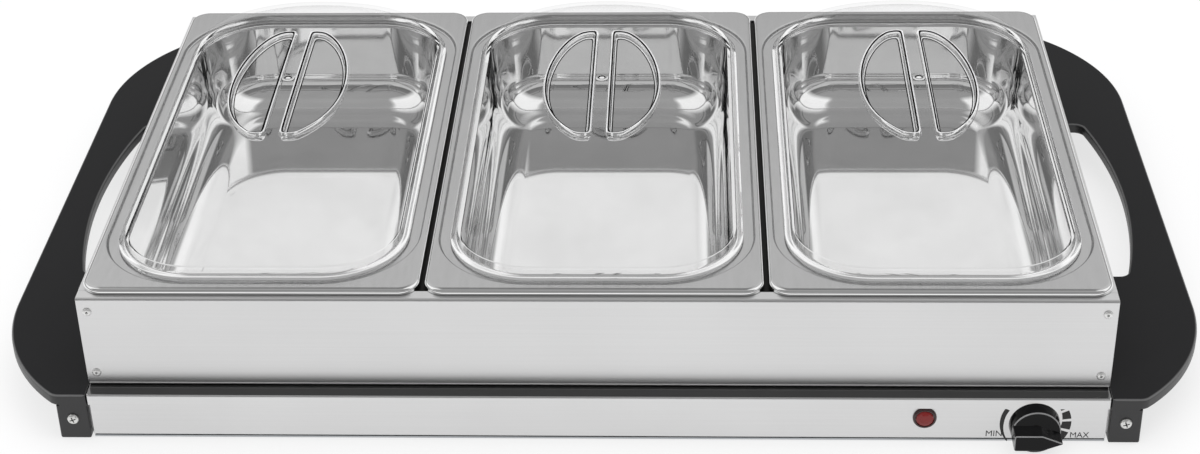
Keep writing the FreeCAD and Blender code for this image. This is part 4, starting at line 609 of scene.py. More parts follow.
def pocket_distance(points, side):
    """Signed distance to one thumb pocket: the smooth greatest of an oval's, a straight bar's and an end's."""
    x, y = points[..., 0] * side, points[..., 1]
    oval = np.hypot(x / POCKET_X, y / POCKET_Y)
    slope = np.hypot(x / POCKET_X ** 2, y / POCKET_Y ** 2) / np.maximum(oval, 1e-6)
    distance = (oval - 1) / np.maximum(slope, 1e-6)
    for other in (BAR_HALF - x, np.abs(y) - POCKET_END):
        gap = np.clip(0.5 + 0.5 * (distance - other) / BLEND, 0, 1)
        distance = other + (distance - other) * gap + BLEND * gap * (1 - gap)
    return distance


def pocket_contours(offsets, side, count=132):
    """Loops at each offset from a pocket's edge: along rays from its middle, the distance halved down to the offset."""
    centre = np.array([side * 15.5, 0.0])
    t = np.linspace(0, 2 * math.pi, count, endpoint=False)
    aim = np.stack([13.0 * np.cos(t), 60.0 * np.sin(t)], -1)
    aim /= np.linalg.norm(aim, axis=1, keepdims=True)
    offsets = np.asarray(offsets, float)[:, None]
    low, high = np.zeros((len(offsets), count)), np.full((len(offsets), count), 90.0)
    for _ in range(40):
        middle = (low + high) / 2
        out = pocket_distance(centre + middle[..., None] * aim, side) > offsets
        low, high = np.where(out, low, middle), np.where(out, middle, high)
    return centre + low[..., None] * aim


def pocket_skin(skin, dome, steps, side):
    """A pocket's wall and floor: loops at offsets from its edge, each lowered below the dome by its own drop, and the
    band from each loop to the next with its own mark. Returns the outermost loop, where the dome's own face ends."""
    offsets, drops, marks = zip(*steps)
    loops = pocket_contours(offsets, side)
    rings = lift(loops, dome.height(loops) - np.array(drops)[:, None])
    for first, mark in enumerate(marks[:-1]):
        skin.grid(rings[first:first + 2], wrap_v=True, mark=mark)
    last = loops[-1]
    middle = last.mean(0)
    floor = np.array([middle + (last - middle) * k for k in (1.0, 0.8, 0.6, 0.4, 0.2)])
    rings = lift(floor, dome.height(floor) - drops[-1])
    skin.grid(rings, wrap_v=True)
    skin.loose(rings[-1], [tuple(range(len(last)))])
    return loops[0]


def dome_cap(skin, dome, level, holes):
    """The top of a dome above a level: dots on finer outlines, joined to the outline and round the holes."""
    edge = outlines(*dome.shape(np.array([level])))[0]
    dots = []
    for k, s in enumerate(1 - (1 - level) * np.linspace(1, 0, 15)[1:-1] ** 1.6):
        ring = outlines(*dome.shape(np.array([s])), QUARTER - k)[0]
        span = np.linalg.norm(np.roll(ring, -1, 0) - ring, axis=1)
        for a, b, length in zip(ring, np.roll(ring, -1, 0), span):
            parts = max(1, int(length / 4.0))
            dots.extend(a + (b - a) * i / parts for i in range(parts))
    dots = np.array(dots)
    clear = np.ones(len(dots), bool)
    for hole in holes:
        clear &= ~inside(hole, dots)
        gap = np.linalg.norm(dots[:, None] - hole[None], axis=2).min(1)
        clear &= gap > 1.2
    filled(skin, [edge] + list(holes), dome.height, dots[clear])


def lid_mesh(low, top):
    """A lid about its own middle, between its rim's underside and its crest: rim, dome, two thumb pockets
    and the inner face. The rim and the foot of the dome carry the thick material's mark."""
    skin = Skin()
    foot = low + LID_WALL
    rise = top - foot
    outer, inner = Dome(*OUTER_FOOT, foot, rise), Dome(*INNER_FOOT, low, rise)
    levels = np.sin(np.linspace(0, math.asin(CAP_LEVEL), SIDE_ROWS))
    rim = [(-0.4, low), (0.0, low + 0.4), (0.0, foot - 0.5), (-0.15, foot - 0.15), (-0.5, foot)]
    rings = [lift(outlines(*(np.array(LID_RIM) + e)), [[z]]) for e, z in rim]
    for e, z in arc((RIM_ROUND, foot + RIM_ROUND), RIM_ROUND, -90, -180, 5):
        shape = outer.shape(np.array([max(0.0, (z - foot) / rise)]))
        rings.append(lift(outlines(*(np.ravel(shape) + e)), [[z]]))
    upper = levels[levels > RIM_ROUND / rise + 0.004]
    rings.append(outer.rings(upper))
    rings = np.concatenate(rings)
    under = inner.rings(levels)[::-1]
    thick = 3
    skin.grid(under[:-thick], wrap_v=True)
    skin.grid(np.concatenate([under[-thick - 1:], rings[:10 + thick]]), wrap_v=True, mark=1)
    skin.grid(rings[9 + thick:], wrap_v=True)
    # the DARK and BRIGHT bands round each pocket are painted shade and highlight lines
    upper_steps = [(1.5, 0.0, BRIGHT), (0.8, 0.02, DARK), (0.35, 0.1, DARK), (-0.1, 0.5, BRIGHT), (-0.3, 1.3, THICK),
                   (-0.55, 2.9, THICK), (-0.8, 3.6, BRIGHT), (-1.3, 4.0, DARK), (-1.9, 4.2, CLEAR)]
    lower_steps = [(2.1, 0.0, THICK), (1.8, 0.1, THICK), (1.55, 0.5, THICK), (1.25, 2.6, THICK), (1.05, 3.4, CLEAR),
                   (0.5, 3.95, CLEAR), (-0.4, 4.2, CLEAR)]
    for dome, steps in ((outer, upper_steps), (inner, lower_steps)):
        holes = [pocket_skin(skin, dome, steps, side) for side in (-1, 1)]
        if dome is outer:
            holes.append(moulding_mark(skin, dome))
        dome_cap(skin, dome, levels[-1], holes)
    return skin


def moulding_mark(skin, dome):
    """A low round stud on the bar with a dimple in its top. Returns the loop where it leaves the dome."""
    profile = np.array([(3.7, 0.0), (3.5, 0.15), (3.42, 0.55), (3.2, 0.7), (2.2, 0.7), (1.9, 0.6), (1.5, 0.3),
                        (0.9, 0.18), (0.3, 0.15)])
    loops = profile[:, :1, None] * full_turn(48)
    top, rises = dome.height(np.zeros((1, 2))), profile[:, 1:]
    rings = lift(loops, np.where(rises < 0.1, dome.height(loops), top + rises))
    # the stud's DARK and BRIGHT bands are painted shade and highlight lines
    for first, mark in enumerate((DARK, BRIGHT, BRIGHT, THICK, DARK, DARK, BRIGHT, BRIGHT)):
        skin.grid(rings[first:first + 2], wrap_v=True, mark=mark)
    skin.loose(rings[-1], [tuple(range(48))], mark=BRIGHT)
    return loops[0]


class WARMER_OT_lids(Operator):
    """Three clear moulded lids with a domed top and two thumb pockets either side of a bar"""

    bl_idname = "warmer.lids"
    bl_label = "Lids"

    def execute(self, context):
        low, high = node_box("lid_center")
        skin = lid_mesh(low[2], high[2] - STUD_RISE)
        source = np.vstack(skin.points)
        for name in PANS:
            centre = np.mean(node_box("lid_" + name), 0)
            skin.points = [source + (*centre[:2], 0)]
            piece = skin.build("lid_%s_moulded" % name, LID_SLOTS, sharp=50, weighted=False)
            place_piece(piece, "lid_" + name, "lid_" + name)
        return {"FINISHED"}


# ---------------------------------------------------------------- rack

RACK_HEM, RACK_FLANGE, RACK_BEND = 5.0, 8.0, 1.1  # depth of its folds below and above, and their radius
BEAD_IN, BEAD_UP, BEAD_RADIUS = 0.35, 1.5, 0.6  # the bright bead along the lower fold
RIVET_IN, RIVET_UP, RIVET_DOWN = 5.3, 8.1, 8.2  # rivets from the rack's ends, its bottom and its top
RIVET = np.array([(0.6, -4.0), (1.6, -4.0), (1.6, 0.0), (2.4, 0.0), (2.38, 0.3), (2.15, 0.7), (1.75, 1.02),
                  (1.2, 1.19), (0.85, 1.18), (0.62, 1.0)])


class WARMER_OT_rack(Operator):
    """The folded steel frame that carries the pans, with its rivets"""

    bl_idname = "warmer.rack"
    bl_label = "Rack"

    def execute(self, context):
        low, high = node_box("rack_front")
        back = node_box("rack_back")[1][1]
        bottom, top, half = low[2], high[2], SHEET / 2
        for name, face, inward in (("front", low[1], 1), ("back", back, -1)):
            skin = Skin()
            corners = ((RACK_HEM, bottom + half), (half, bottom + half), (half, top - half), (RACK_FLANGE, top - half))
            sheet_strip(skin, [(face + inward * y, z) for y, z in corners], RACK_BEND, low[0], high[0])
            # the bead's lighter grey along the lower fold is a painted highlight line
            bead = arc((face + inward * BEAD_IN, bottom + BEAD_UP), BEAD_RADIUS, 0, 360, 13)[:-1]
            skin.tube([along_x(bead, x) for x in (low[0] + BEAD_RADIUS, high[0] - BEAD_RADIUS)], mark=1)
            piece = skin.build("rack_%s_folded" % name, ("steel_satin", "steel_bead"), bevel=FOLD_EDGE)
            place_piece(piece, "rack", "rack_" + name)
        # the dividers show only in the narrow gaps between the pans, and their near-black grey paints the shade there
        for node in ("divider_left", "divider_right"):
            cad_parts[node].data.materials[0] = finish_of("steel_dull")
        self.rivets(low, high, back)
        return {"FINISHED"}

    def rivets(self, low, high, back):
        """Blind rivets: a low domed head with a rolled rim round an open bore."""
        skin = Skin()
        for face, axis in ((low[1], "front"), (back, "back")):
            for x in (low[0] + RIVET_IN, high[0] - RIVET_IN):
                for z in (low[2] + RIVET_UP, high[2] - RIVET_DOWN):
                    skin.grid(revolved(RIVET, (x, face, z), axis, 40), wrap_u=True, wrap_v=True)
        piece = skin.build("rack_blind_rivets", ("rivet_aluminium",), sharp=45)
        place_piece(piece, "rack", "rack_rivets")


# ---------------------------------------------------------------- base

PLATE_CORNER, PLATE_ROLL = 1.5, 1.3  # the tray's corners, and the bend of its skirt
PANEL_FOOT, PANEL_BEND = 14.0, 1.0  # the panels' foot flange and its bend


class WARMER_OT_base(Operator):
    """The tray plate with its turned-down skirt, and the front and back panels"""

    bl_idname = "warmer.base"
    bl_label = "Base"

    def execute(self, context):
        low, high = node_box("top_plate")
        shape = np.append((high - low)[:2] / 2, PLATE_CORNER)
        bend = (-PLATE_ROLL, high[2] - PLATE_ROLL)
        upper = [(0.0, low[2]), *arc(bend, PLATE_ROLL, 0, 90, 7)]
        lower = [(-SHEET, low[2]), *arc(bend, PLATE_ROLL - SHEET, 0, 90, 4)]
        rows = np.array(lower[::-1] + upper)
        grown = np.maximum(shape + rows[:, :1], (1, 1, 0.1))
        rings = lift(outlines(*grown.T, 6) + (low + high)[:2] / 2, rows[:, 1:])
        skin, edge = Skin(), len(rows) - 3
        skin.tube(rings[:edge + 1], mark=1, ends=(True, False))
        # the top and its rounding take mark 0, the darkened grey of painted shade
        skin.tube(rings[edge:], ends=(False, True))
        piece = skin.build("tray_plate_folded", ("steel_polished", "steel_satin"))
        place_piece(piece, "base", "top_plate")
        for name, inward in (("front_panel", 1), ("back_panel", -1)):
            low, high = node_box(name)
            face, half = low[1] if inward == 1 else high[1], SHEET / 2
            corners = ((PANEL_FOOT, low[2] + half), (half, low[2] + half), (half, high[2]))
            skin = Skin()
            sheet_strip(skin, [(face + inward * y, z) for y, z in corners], PANEL_BEND, low[0], high[0])
            piece = skin.build(name + "_folded", ("steel_satin",), bevel=FOLD_EDGE)
            place_piece(piece, "base", name)
        return {"FINISHED"}


# ---------------------------------------------------------------- handles

HANDLE_THICK, HANDLE_ROUND, SEAM_ROUND = 7.0, 1.6, 0.3  # the plate, its edges, and its edge beside the tray
BEND, BEND_LONG, NOSE = 118.0, 89.0, 8.0  # radius and length of the arc at each end, and the nose's radius
GRIP_SHORT, GRIP_WIDE = 119.0, 58.3  # the finger hole's end from the handle's, and its datum from the reach
GRIP_SIDE, GRIP_REACH, GRIP_BOW, GRIP_CORNER = 9.0, 39.0, 11.5, 6.0  # its two sides from the datum, bow and corners
FOOT_HALF, FOOT_CORNER = (8.2, 17.0), 1.0
WEB_HALF, WEB_SHORT, WEB_FROM = 1.5, 33.0, 3.0  # the wall between a handle's feet
SCREW_IN, SCREW_SUNK, SCREW_HIGH = 3.1, 1.8, 13.7


def offset_loop(loop, distance):
    """A closed anticlockwise loop moved inwards by one distance, or by one for each of its points."""
    return loop + normals_2d(loop, True) * np.asarray(distance, float)[..., None]


def handle_outline(half, inner, outer):
    """Outer edge of a handle's plate: straight along the middle, a large arc and a small nose at each end."""
    stop = math.degrees(math.asin(BEND_LONG / BEND))
    bend = arc((outer - BEND, half - BEND_LONG), BEND, 0, stop, 30)
    nose = rounded([bend[-3], (bend[-1][0], half), (inner, half)], NOSE, 8)
    path = np.vstack([bend[:-3], nose[:-1], [(inner + 2.0, half), (inner, half)]])
    return np.vstack([path, (path * (1, -1))[::-1]])


def grip_outline(half, reach):
    """The finger hole: straight beside the tray and bowed on its outer side, with round corners."""
    end, tray = half - GRIP_SHORT, reach - GRIP_WIDE
    bow = (end ** 2 + GRIP_BOW ** 2) / (2 * GRIP_BOW)
    span = math.degrees(math.asin(end / bow))
    curve = arc((tray + GRIP_REACH - bow, 0), bow, -span, span, 33)
    top = rounded([curve[-4], curve[-1], (tray + GRIP_SIDE, end), (tray + GRIP_SIDE, 0)], GRIP_CORNER, 8)
    return np.vstack([curve[4:-4], top, (top * (1, -1))[::-1][1:]])


class WARMER_OT_handles(Operator):
    """Two moulded handles with a finger hole, rounded edges and a foot at each end, and their screws"""

    bl_idname = "warmer.handles"
    bl_label = "Handles"

    def execute(self, context):
        for word, side in (("left", -1), ("right", 1)):
            low, high = node_box(word + "_handle")
            middle, half = (low[1] + high[1]) / 2, (high[1] - low[1]) / 2
            inner, reach = (low[0], high[0]) if side > 0 else (-high[0], -low[0])
            under = high[2] - HANDLE_THICK
            skin = Skin()
            self.plate(skin, half, inner, reach, high[2])
            for end in (-1, 1):
                self.foot(skin, (inner + FOOT_HALF[0], end * (half - FOOT_HALF[1])), under)
            web = outlines([WEB_HALF] * 2, [half - WEB_SHORT] * 2, [0.2] * 2, 1)
            skin.tube(lift(web + (inner + WEB_HALF, 0), [[WEB_FROM], [under]]))
            skin.points = [p * (side, 1, 1) + (0, middle, 0) for p in skin.points]
            piece = skin.build(word + "_handle_moulded", ("black_plastic",), sharp=40)
            place_piece(piece, "base", word + "_handle")
        self.screws()
        return {"FINISHED"}

    def plate(self, skin, half, inner, reach, top):
        """The plate: its outline and its finger hole, each with quarter-round edges above and below."""
        outer, hole = handle_outline(half, inner, reach), grip_outline(half, reach)
        beside = outer[:, 0] < inner + 0.01
        ends = np.abs(outer[:, 1]) > half - 0.01
        upper = np.where(beside, SEAM_ROUND, HANDLE_ROUND)
        lower = np.where(beside | ends, 0.02, HANDLE_ROUND)
        turn = np.radians(np.linspace(0, 90, 7))
        edge = np.full(len(hole), -HANDLE_ROUND)
        shells = []
        for loop, below, above in ((outer, lower, upper), (hole, edge, edge)):
            rings = []
            for start, size, way, angles in ((top - HANDLE_THICK, below, 1, turn[::-1]), (top, above, -1, turn)):
                rings += [lift(offset_loop(loop, size * (1 - math.cos(a))), start + way * abs(size) * (1 - math.sin(a)))
                          for a in angles]
            skin.grid(rings, wrap_v=True)
            shells.append(rings)
        for level in (0, -1):
            filled(skin, [rings[level][:, :2] for rings in shells], shells[0][level][0, 2])

    def foot(self, skin, centre, top):
        """A foot: a post with rounded outer edges and a softly rounded lower rim."""
        rows = np.array([(-0.9, 0.8), (-0.25, 1.1), (0.0, 1.8), (0.0, top)])
        rings = outlines(*(size + rows[:, 0] for size in (*FOOT_HALF, FOOT_CORNER)), 5) + centre
        skin.tube(lift(rings, rows[:, 1:]))

    def screws(self):
        """Pan-head screws with a cross recess at the front and back of each handle."""
        low, high = node_box("handle_screws")
        skin = Skin()
        for x in (low[0] + SCREW_IN, high[0] - SCREW_IN):
            for y, axis in ((low[1] + SCREW_SUNK, "front"), (high[1] - SCREW_SUNK, "back")):
                cross_head(skin, (x, y, SCREW_HIGH), axis)
        piece = skin.build("handle_pan_screws", ("screw_steel", "screw_recess"), sharp=30)
        place_piece(piece, "base", "handle_screws")


def cross_head(skin, centre, axis):
    """A pan head: a domed disc whose face has a tapered cross, on its shank."""
    profile = [(0.0, -12.0), (1.75, -12.0), (1.75, 0.0), (3.1, 0.0), (3.1, 0.5), (2.95, 0.95), (2.6, 1.3)]
    skin.grid(revolved(profile, centre, axis, 48), wrap_v=True)
    rim, arm, wide = 2.6, 1.75, 0.3
    cross = np.array([(arm, -wide), (arm, wide), (wide, wide), (wide, arm), (-wide, arm), (-wide, wide), (-arm, wide),
                      (-arm, -wide), (-wide, -wide), (-wide, -arm), (wide, -arm), (wide, -wide)])
    cross = cross @ np.array([(0.94, 0.34), (-0.34, 0.94)])

    def crown(points):
        return 1.8 - 0.5 * (points ** 2).sum(1) / rim ** 2

    def turned(points):
        return facing(points, centre, axis)

    filled(skin, [rim * full_turn(48), cross], crown, turned=turned)
    # the cross recess's walls and floor take mark 1, the dark grey of painted shade
    walls = turned([lift(cross, crown(cross)), lift(cross * 0.75, 0.7)])
    skin.grid(walls, wrap_v=True, mark=1)
    skin.loose(walls[1], [(11, 0, 1, 2), (2, 3, 4, 5), (5, 6, 7, 8), (8, 9, 10, 11), (11, 2, 5, 8)], 1)


# ---------------------------------------------------------------- dial and lamp

PRINT_OUT = 0.05  # the print stands this far before the panel
RING_CENTRE, RING_RADIUS, RING_TOP = (230.7, 12.8), 18.6, 22.3
RING_PARTS = ((-43, -19.2), (-13.6, 3.4), (8.8, 25.6), (31.2, 35.5), (150.5, 220))  # where each begins and ends
RING_TURNS, RING_WIDTHS = (-43, -30, -5, 17, 34, 150, 180, 225), (5.8, 5.6, 5.1, 4.4, 3.6, 2.6, 2.2, 0.45)
WORDS = (("MIN", (205.3, 213.7, 4.0, 7.6)), ("MAX", (249.4, 259.2, 3.3, 6.8)))  # each with its box
BAR_FROM, BAR_TOP, BAR_ROUND = 6.0, 18.9, 0.7  # heights of the grip bar, and its upper edge


class WARMER_OT_dial(Operator):
    """The thermostat's dial with its grip bar, the widening ring printed round it and its two words"""

    bl_idname = "warmer.dial"
    bl_label = "Dial"

    def execute(self, context):
        low, high = node_box("control_knob")
        panel = node_box("front_panel")[0][1]
        self.knob(((low[0] + high[0]) / 2, panel, (low[2] + high[2]) / 2))
        self.ring(panel)
        self.words(panel)
        return {"FINISHED"}

    def knob(self, centre):
        """A tapered skirt, turned about the shaft, with a bar across it that ends in a point."""
        skin = Skin()
        skirt = [(0.0, 5.0), (11.1, 5.0), (11.1, 1.9), (11.3, 1.7), (13.1, 1.7), (13.3, 1.9),
                 *arc((11.85, 9.0), 1.0, 3.4, 90, 8), (9.0, 10.05), (4.0, 10.05), (0.0, 10.05)]
        turned = revolved(skirt, centre, "front", 96)
        # mark 1 on the skirt's rounded front edge takes the pale grey of the painted highlight
        for first, last, mark in ((0, 8, 0), (7, 12, 1), (11, len(turned), 0)):
            skin.grid(turned[first:last], wrap_v=True, mark=mark)
        corners = [(-12.4, -4.7), (1.8, -4.7), (12.4, -0.35), (12.4, 0.35), (1.8, 4.7), (-12.4, 4.7)]
        bar = closed_round(corners, (1.1, 1.0, 0.3, 0.3, 1.0, 1.1), 5)
        turns = np.radians((22, 45, 67, 90))
        rows = [(0.0, BAR_FROM), (0.0, BAR_TOP)]
        rows += [(BAR_ROUND * (1 - math.cos(a)), BAR_TOP + BAR_ROUND * math.sin(a)) for a in turns]
        rings = np.array([lift(offset_loop(bar, inward), height) for inward, height in rows])
        # mark 1 on the bar's rounded upper edge takes the painted highlight as well
        for first, last, mark in ((0, 2, 0), (1, 5, 1), (4, 6, 0)):
            skin.grid(facing(rings[first:last], centre, "front"), wrap_v=True, mark=mark)
        filled(skin, [rings[-1, :, :2]], rings[-1, 0, 2], turned=lambda points: facing(points, centre, "front"))
        piece = skin.build("dial_knob_moulded", ("knob_plastic", "knob_edge"), sharp=45)
        place_piece(piece, "knob", "control_knob")
        piece.visible_glossy = False  # its dark image in the rack's satin face would pass for a stain

    def ring(self, panel):
        """Flat segments of a band round the dial; its width grows clockwise and gaps cut its wide half."""
        skin = Skin()
        for first, last in RING_PARTS:
            turn = np.linspace(first, last, 24)
            direction = circle(turn)
            width = np.interp(turn, RING_TURNS, RING_WIDTHS)[:, None]
            flat = np.stack([direction * RING_RADIUS, direction * (RING_RADIUS - width)]) + RING_CENTRE
            flat[..., 1] = np.minimum(flat[..., 1], RING_TOP)
            skin.grid(facing(lift(flat, 0.0), (0, panel - PRINT_OUT, 0), "front"))
        piece = skin.build("dial_ring_print", ("dial_print",), weighted=False)
        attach(piece, "base")

    def words(self, panel):
        """The two words beside the dial, as flat letters fitted to their boxes."""
        for word, (left, right, bottom, top) in WORDS:
            curve = bpy.data.curves.new("letters " + word, "FONT")
            curve.body = word
            text = bpy.data.objects.new("letters " + word, curve)
            bpy.context.scene.collection.objects.link(text)
            mesh = bpy.data.meshes.new_from_object(text.evaluated_get(bpy.context.evaluated_depsgraph_get()))
            bpy.data.objects.remove(text)
            flat = np.array([v.co[:2] for v in mesh.vertices])
            flat = (flat - flat.min(0)) / (flat.max(0) - flat.min(0))
            flat = flat * (right - left, top - bottom) + (left, bottom)
            skin = Skin()
            points = facing(lift(flat, 0.0), (0, panel - PRINT_OUT, 0), "front")
            skin.loose(points, [tuple(p.vertices) for p in mesh.polygons])
            piece = skin.build("dial_word_" + word, ("dial_print",), weighted=False)
            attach(piece, "base")


class WARMER_OT_lamp(Operator):
    """The pilot lamp: a dark red bezel round a faceted lens"""

    bl_idname = "warmer.lamp"
    bl_label = "Pilot lamp"

    def execute(self, context):
        low, high = node_box("lamp_bezel")
        centre = ((low[0] + high[0]) / 2, high[1], (low[2] + high[2]) / 2)
        ring = Skin()
        profile = [(4.8, 0.0), (6.3, 0.0), (6.25, 0.6), (6.0, 1.2), (5.65, 1.5), (5.3, 1.6), (4.95, 1.5), (4.8, 1.2)]
        ring.grid(revolved(profile, centre, "front", 64), wrap_u=True, wrap_v=True)
        piece = ring.build("lamp_bezel_moulded", ("lamp_ring",))
        place_piece(piece, "base", "lamp_bezel")
        lens = Skin()
        facets = [(0.0, 0.0), (4.7, 0.0), (4.7, 1.4), (4.0, 2.0), (2.7, 2.45), (1.1, 2.6), (0.0, 2.6)]
        lens.grid(revolved(facets, centre, "front", 12), wrap_v=True)
        piece = lens.build("lamp_lens_faceted", ("lamp_red",), sharp=8, weighted=False)
        place_piece(piece, "base", "lamp_lens")
        return {"FINISHED"}


def carried_finishes():
    """Gives every CAD node that is still shown the finish of its own slot."""
    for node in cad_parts.values():
        if node.hide_render:
            continue
        for place, old in enumerate(node.data.materials):
            slot = old.name.split(".")[0] if old else "steel_satin"
            if slot in FINISHES:
                node.data.materials[place] = FINISHES[slot]


# ---------------------------------------------------------------- stage

CAMERA_PLACE = (0.047457, -1.158011, 0.722692)
CAMERA_TURNS = (-2.541, 31.539, -1.256)  # degrees to the side, downwards and about its own axis
CAMERA_LENS, CAMERA_SENSOR = 67.755, 36.0
FLOOR_HALF = 4  # metres
WORLD_PLAIN = (0.75, 0.75, 0.76, 1)  # what matt surfaces see
WORLD_BEHIND = ((0, 0.40), (20, 0.42), (24, 0.80), (28, 0.80), (30.5, 0.88), (46, 0.88), (54, 0.38), (90, 0.35))
WORLD_BESIDE = ((0, 0.40), (16, 0.42), (20, 1.0), (68, 1.0), (76, 0.38), (90, 0.35))
WORLD_AHEAD = ((0, 0.02), (7, 0.05), (12, 0.50), (21.5, 0.58), (24, 0.16), (34, 0.20), (36, 0.31),
               (38.8, 0.31), (39.3, 0.1), (39.9, 0.1), (40.4, 0.33), (90, 0.35))


def set_camera():
    """A camera 31.5 degrees above the level, a little right of the middle, with a 68 mm lens."""
    yaw, pitch, roll = (math.radians(v) for v in CAMERA_TURNS)
    ahead = Vector((math.sin(yaw) * math.cos(pitch), math.cos(yaw) * math.cos(pitch), -math.sin(pitch)))
    right = Vector((math.cos(yaw), -math.sin(yaw), 0))
    up = right.cross(ahead)
    across = right * math.cos(roll) + up * math.sin(roll)
    over = up * math.cos(roll) - right * math.sin(roll)
    camera = bpy.data.objects.new("camera", bpy.data.cameras.new("camera"))
    bpy.context.scene.collection.objects.link(camera)
    camera.data.lens = CAMERA_LENS
    camera.data.sensor_width = CAMERA_SENSOR
    camera.data.clip_start = 0.01
    turn = Matrix((across, over, -ahead)).transposed().to_4x4()
    camera.matrix_world = Matrix.Translation(CAMERA_PLACE) @ turn
    bpy.context.scene.camera = camera


def lamp(name, place, aim, size, power):
    """A soft area light that looks from its place at its aim."""
    data = bpy.data.lights.new(name, "AREA")
    data.shape = "RECTANGLE"
    data.size, data.size_y = size
    data.energy = power
    light = bpy.data.objects.new(name, data)
    bpy.context.scene.collection.objects.link(light)
    light.location = place
    light.visible_glossy = light.visible_transmission = False
    light.rotation_euler = (Vector(aim) - Vector(place)).to_track_quat("-Z", "Y").to_euler()


class WARMER_OT_stage(Operator):
    """A pale floor, a plain studio world, soft lamps and the camera"""

    bl_idname = "warmer.stage"
    bl_label = "Stage"

    def execute(self, context):
        set_camera()
        scene = context.scene
        scene.view_settings.view_transform = "Standard"
        mesh = bpy.data.meshes.new("floor")
        corners = [(x * FLOOR_HALF, y * FLOOR_HALF, 0) for x, y in ((-1, -1), (1, -1), (1, 1), (-1, 1))]
        mesh.from_pydata(corners, [], [(0, 1, 2, 3)])
        floor = bpy.data.objects.new("floor", mesh)
        scene.collection.objects.link(floor)
        made, tree, shader, output = material("matt white studio floor")
        path = add(tree, "LightPath").outputs
        seen = path["Is Camera Ray"]
        for ray in ("Is Glossy Ray", "Is Transmission Ray"):
            seen = add(tree, "Math", links={0: seen, 1: path[ray]}, operation="MAXIMUM").outputs[0]
        share = add(tree, "Math", {1: 0.72}, {0: seen}, operation="MULTIPLY").outputs[0]
        set_all(shader, Base_Color=srgb("f2f2f2"), Roughness=1.0)
        glow = add(tree, "Emission", {"Strength": 1.0})
        mixed = add(tree, "MixShader", links={"Fac": share, 1: shader.outputs["BSDF"], 2: glow.outputs["Emission"]})
        wire(tree, output, {"Surface": mixed.outputs["Shader"]})
        mesh.materials.append(made)
        self.world(scene)
        lamp("overhead", (0.1, 0.15, 1.6), (0, 0, 0), (1.8, 1.2), 13)
        lamp("front", (-0.7, -1.7, 1.3), (0, 0, 0.03), (1.2, 0.9), 10)
        return {"FINISHED"}

    def world(self, scene):
        """A grey room with a bright band about forty degrees up behind, a taller one at the sides, and pale strips
        low in front. Each ramp runs from the level to straight up; the camera sees white, and matt surfaces a plain
        grey."""
        world = bpy.data.worlds.new("studio")
        scene.world = world
        world.use_nodes = True
        tree = world.node_tree
        split = add(tree, "SeparateXYZ", links={"Vector": add(tree, "TexCoord").outputs["Generated"]}).outputs
        high = add(tree, "Math", links={0: split["Z"]}, operation="ARCSINE").outputs[0]
        wide = add(tree, "Math", links={0: split["X"]}, operation="ABSOLUTE").outputs[0]
        share, wide, turn = (
            add(tree, "MapRange", {"From Min": start, "From Max": stop}, {"Value": source}).outputs["Result"]
            for start, stop, source in ((0.0, math.pi / 2, high), (0.2, 0.34, wide), (-0.42, -0.22, split["Y"]))
        )
        behind, beside, ahead = (
            ramp(add(tree, "ValToRGB", links={"Fac": share}), *[(a / 90, v) for a, v in stops]).outputs["Color"]
            for stops in (WORLD_BEHIND, WORLD_BESIDE, WORLD_AHEAD)
        )
        rear = add(tree, "Mix", links={0: wide, 6: behind, 7: beside}, data_type="RGBA").outputs[2]
        tone = add(tree, "Mix", links={0: turn, 6: ahead, 7: rear}, data_type="RGBA").outputs[2]
        path = add(tree, "LightPath").outputs
        for ray, colour in (("Is Diffuse Ray", WORLD_PLAIN), ("Is Camera Ray", (1, 1, 1, 1))):
            tone = add(tree, "Mix", {7: colour}, {0: path[ray], 6: tone}, data_type="RGBA").outputs[2]
        wire(tree, tree.nodes["Background"], {"Color": tone})


# ---------------------------------------------------------------- add-on

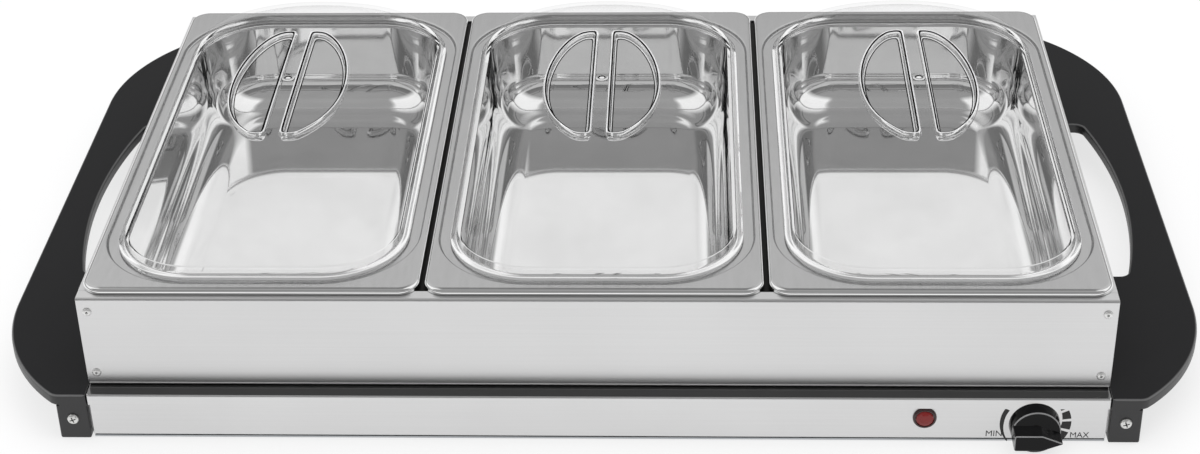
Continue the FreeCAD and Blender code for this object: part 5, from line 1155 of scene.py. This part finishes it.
class WarmerSizes(PropertyGroup):
    """Lengths of the formed parts that the CAD boxes don't give"""

    pan_wall: FloatProperty(
        name="Pan sheet", description="Thickness of the pan's sheet", default=0.001, unit="LENGTH", precision=5)
    pan_roll: FloatProperty(
        name="Flange roll", description="Rounding of the pan's outer edge", default=0.0026, unit="LENGTH", precision=5)
    mouth_roll: FloatProperty(
        name="Mouth roll", description="Rounding from the flange into the mouth", default=0.0013, unit="LENGTH",
        precision=5)
    draft: FloatProperty(name="Wall draft", description="Slope of the pan's walls, in degrees", default=4.0)


class WarmerColours(PropertyGroup):
    """Colours a user would change"""

    handle: FloatVectorProperty(
        name="Handles", description="Colour of the moulded handles", subtype="COLOR", default=srgb("1f1f20")[:3])
    lamp: FloatVectorProperty(
        name="Lamp", description="Colour of the lamp's lens", subtype="COLOR", default=srgb("8e1614")[:3])


class WARMER_PT_sidebar(Panel):
    """Lists the pieces of the warmer"""

    bl_idname = "WARMER_PT_sidebar"
    bl_label = "Food warmer"
    bl_space_type = "VIEW_3D"
    bl_region_type = "UI"
    bl_category = "Warmer"

    def draw(self, context):
        layout = self.layout
        for group in (context.scene.warmer_sizes, context.scene.warmer_colours):
            for name in group.__annotations__:
                layout.prop(group, name)
        for piece in PIECES:
            layout.operator(piece.bl_idname)


PIECES = (WARMER_OT_pans, WARMER_OT_lids, WARMER_OT_rack, WARMER_OT_base, WARMER_OT_handles, WARMER_OT_dial,
          WARMER_OT_lamp, WARMER_OT_stage)
CLASSES = (WarmerSizes, WarmerColours, WARMER_PT_sidebar) + PIECES


def register():
    for kind in CLASSES:
        bpy.utils.register_class(kind)
    bpy.types.Scene.warmer_sizes = PointerProperty(type=WarmerSizes)
    bpy.types.Scene.warmer_colours = PointerProperty(type=WarmerColours)


def unregister():
    del bpy.types.Scene.warmer_colours
    del bpy.types.Scene.warmer_sizes
    for kind in reversed(CLASSES):
        bpy.utils.unregister_class(kind)


def main():
    """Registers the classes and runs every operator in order."""
    register()
    for piece in PIECES:
        group, name = piece.bl_idname.split(".")
        if getattr(getattr(bpy.ops, group), name)() != {"FINISHED"}:
            raise RuntimeError("the operator %s didn't finish" % piece.bl_idname)
    carried_finishes()


if __name__ == "__main__":
    main()
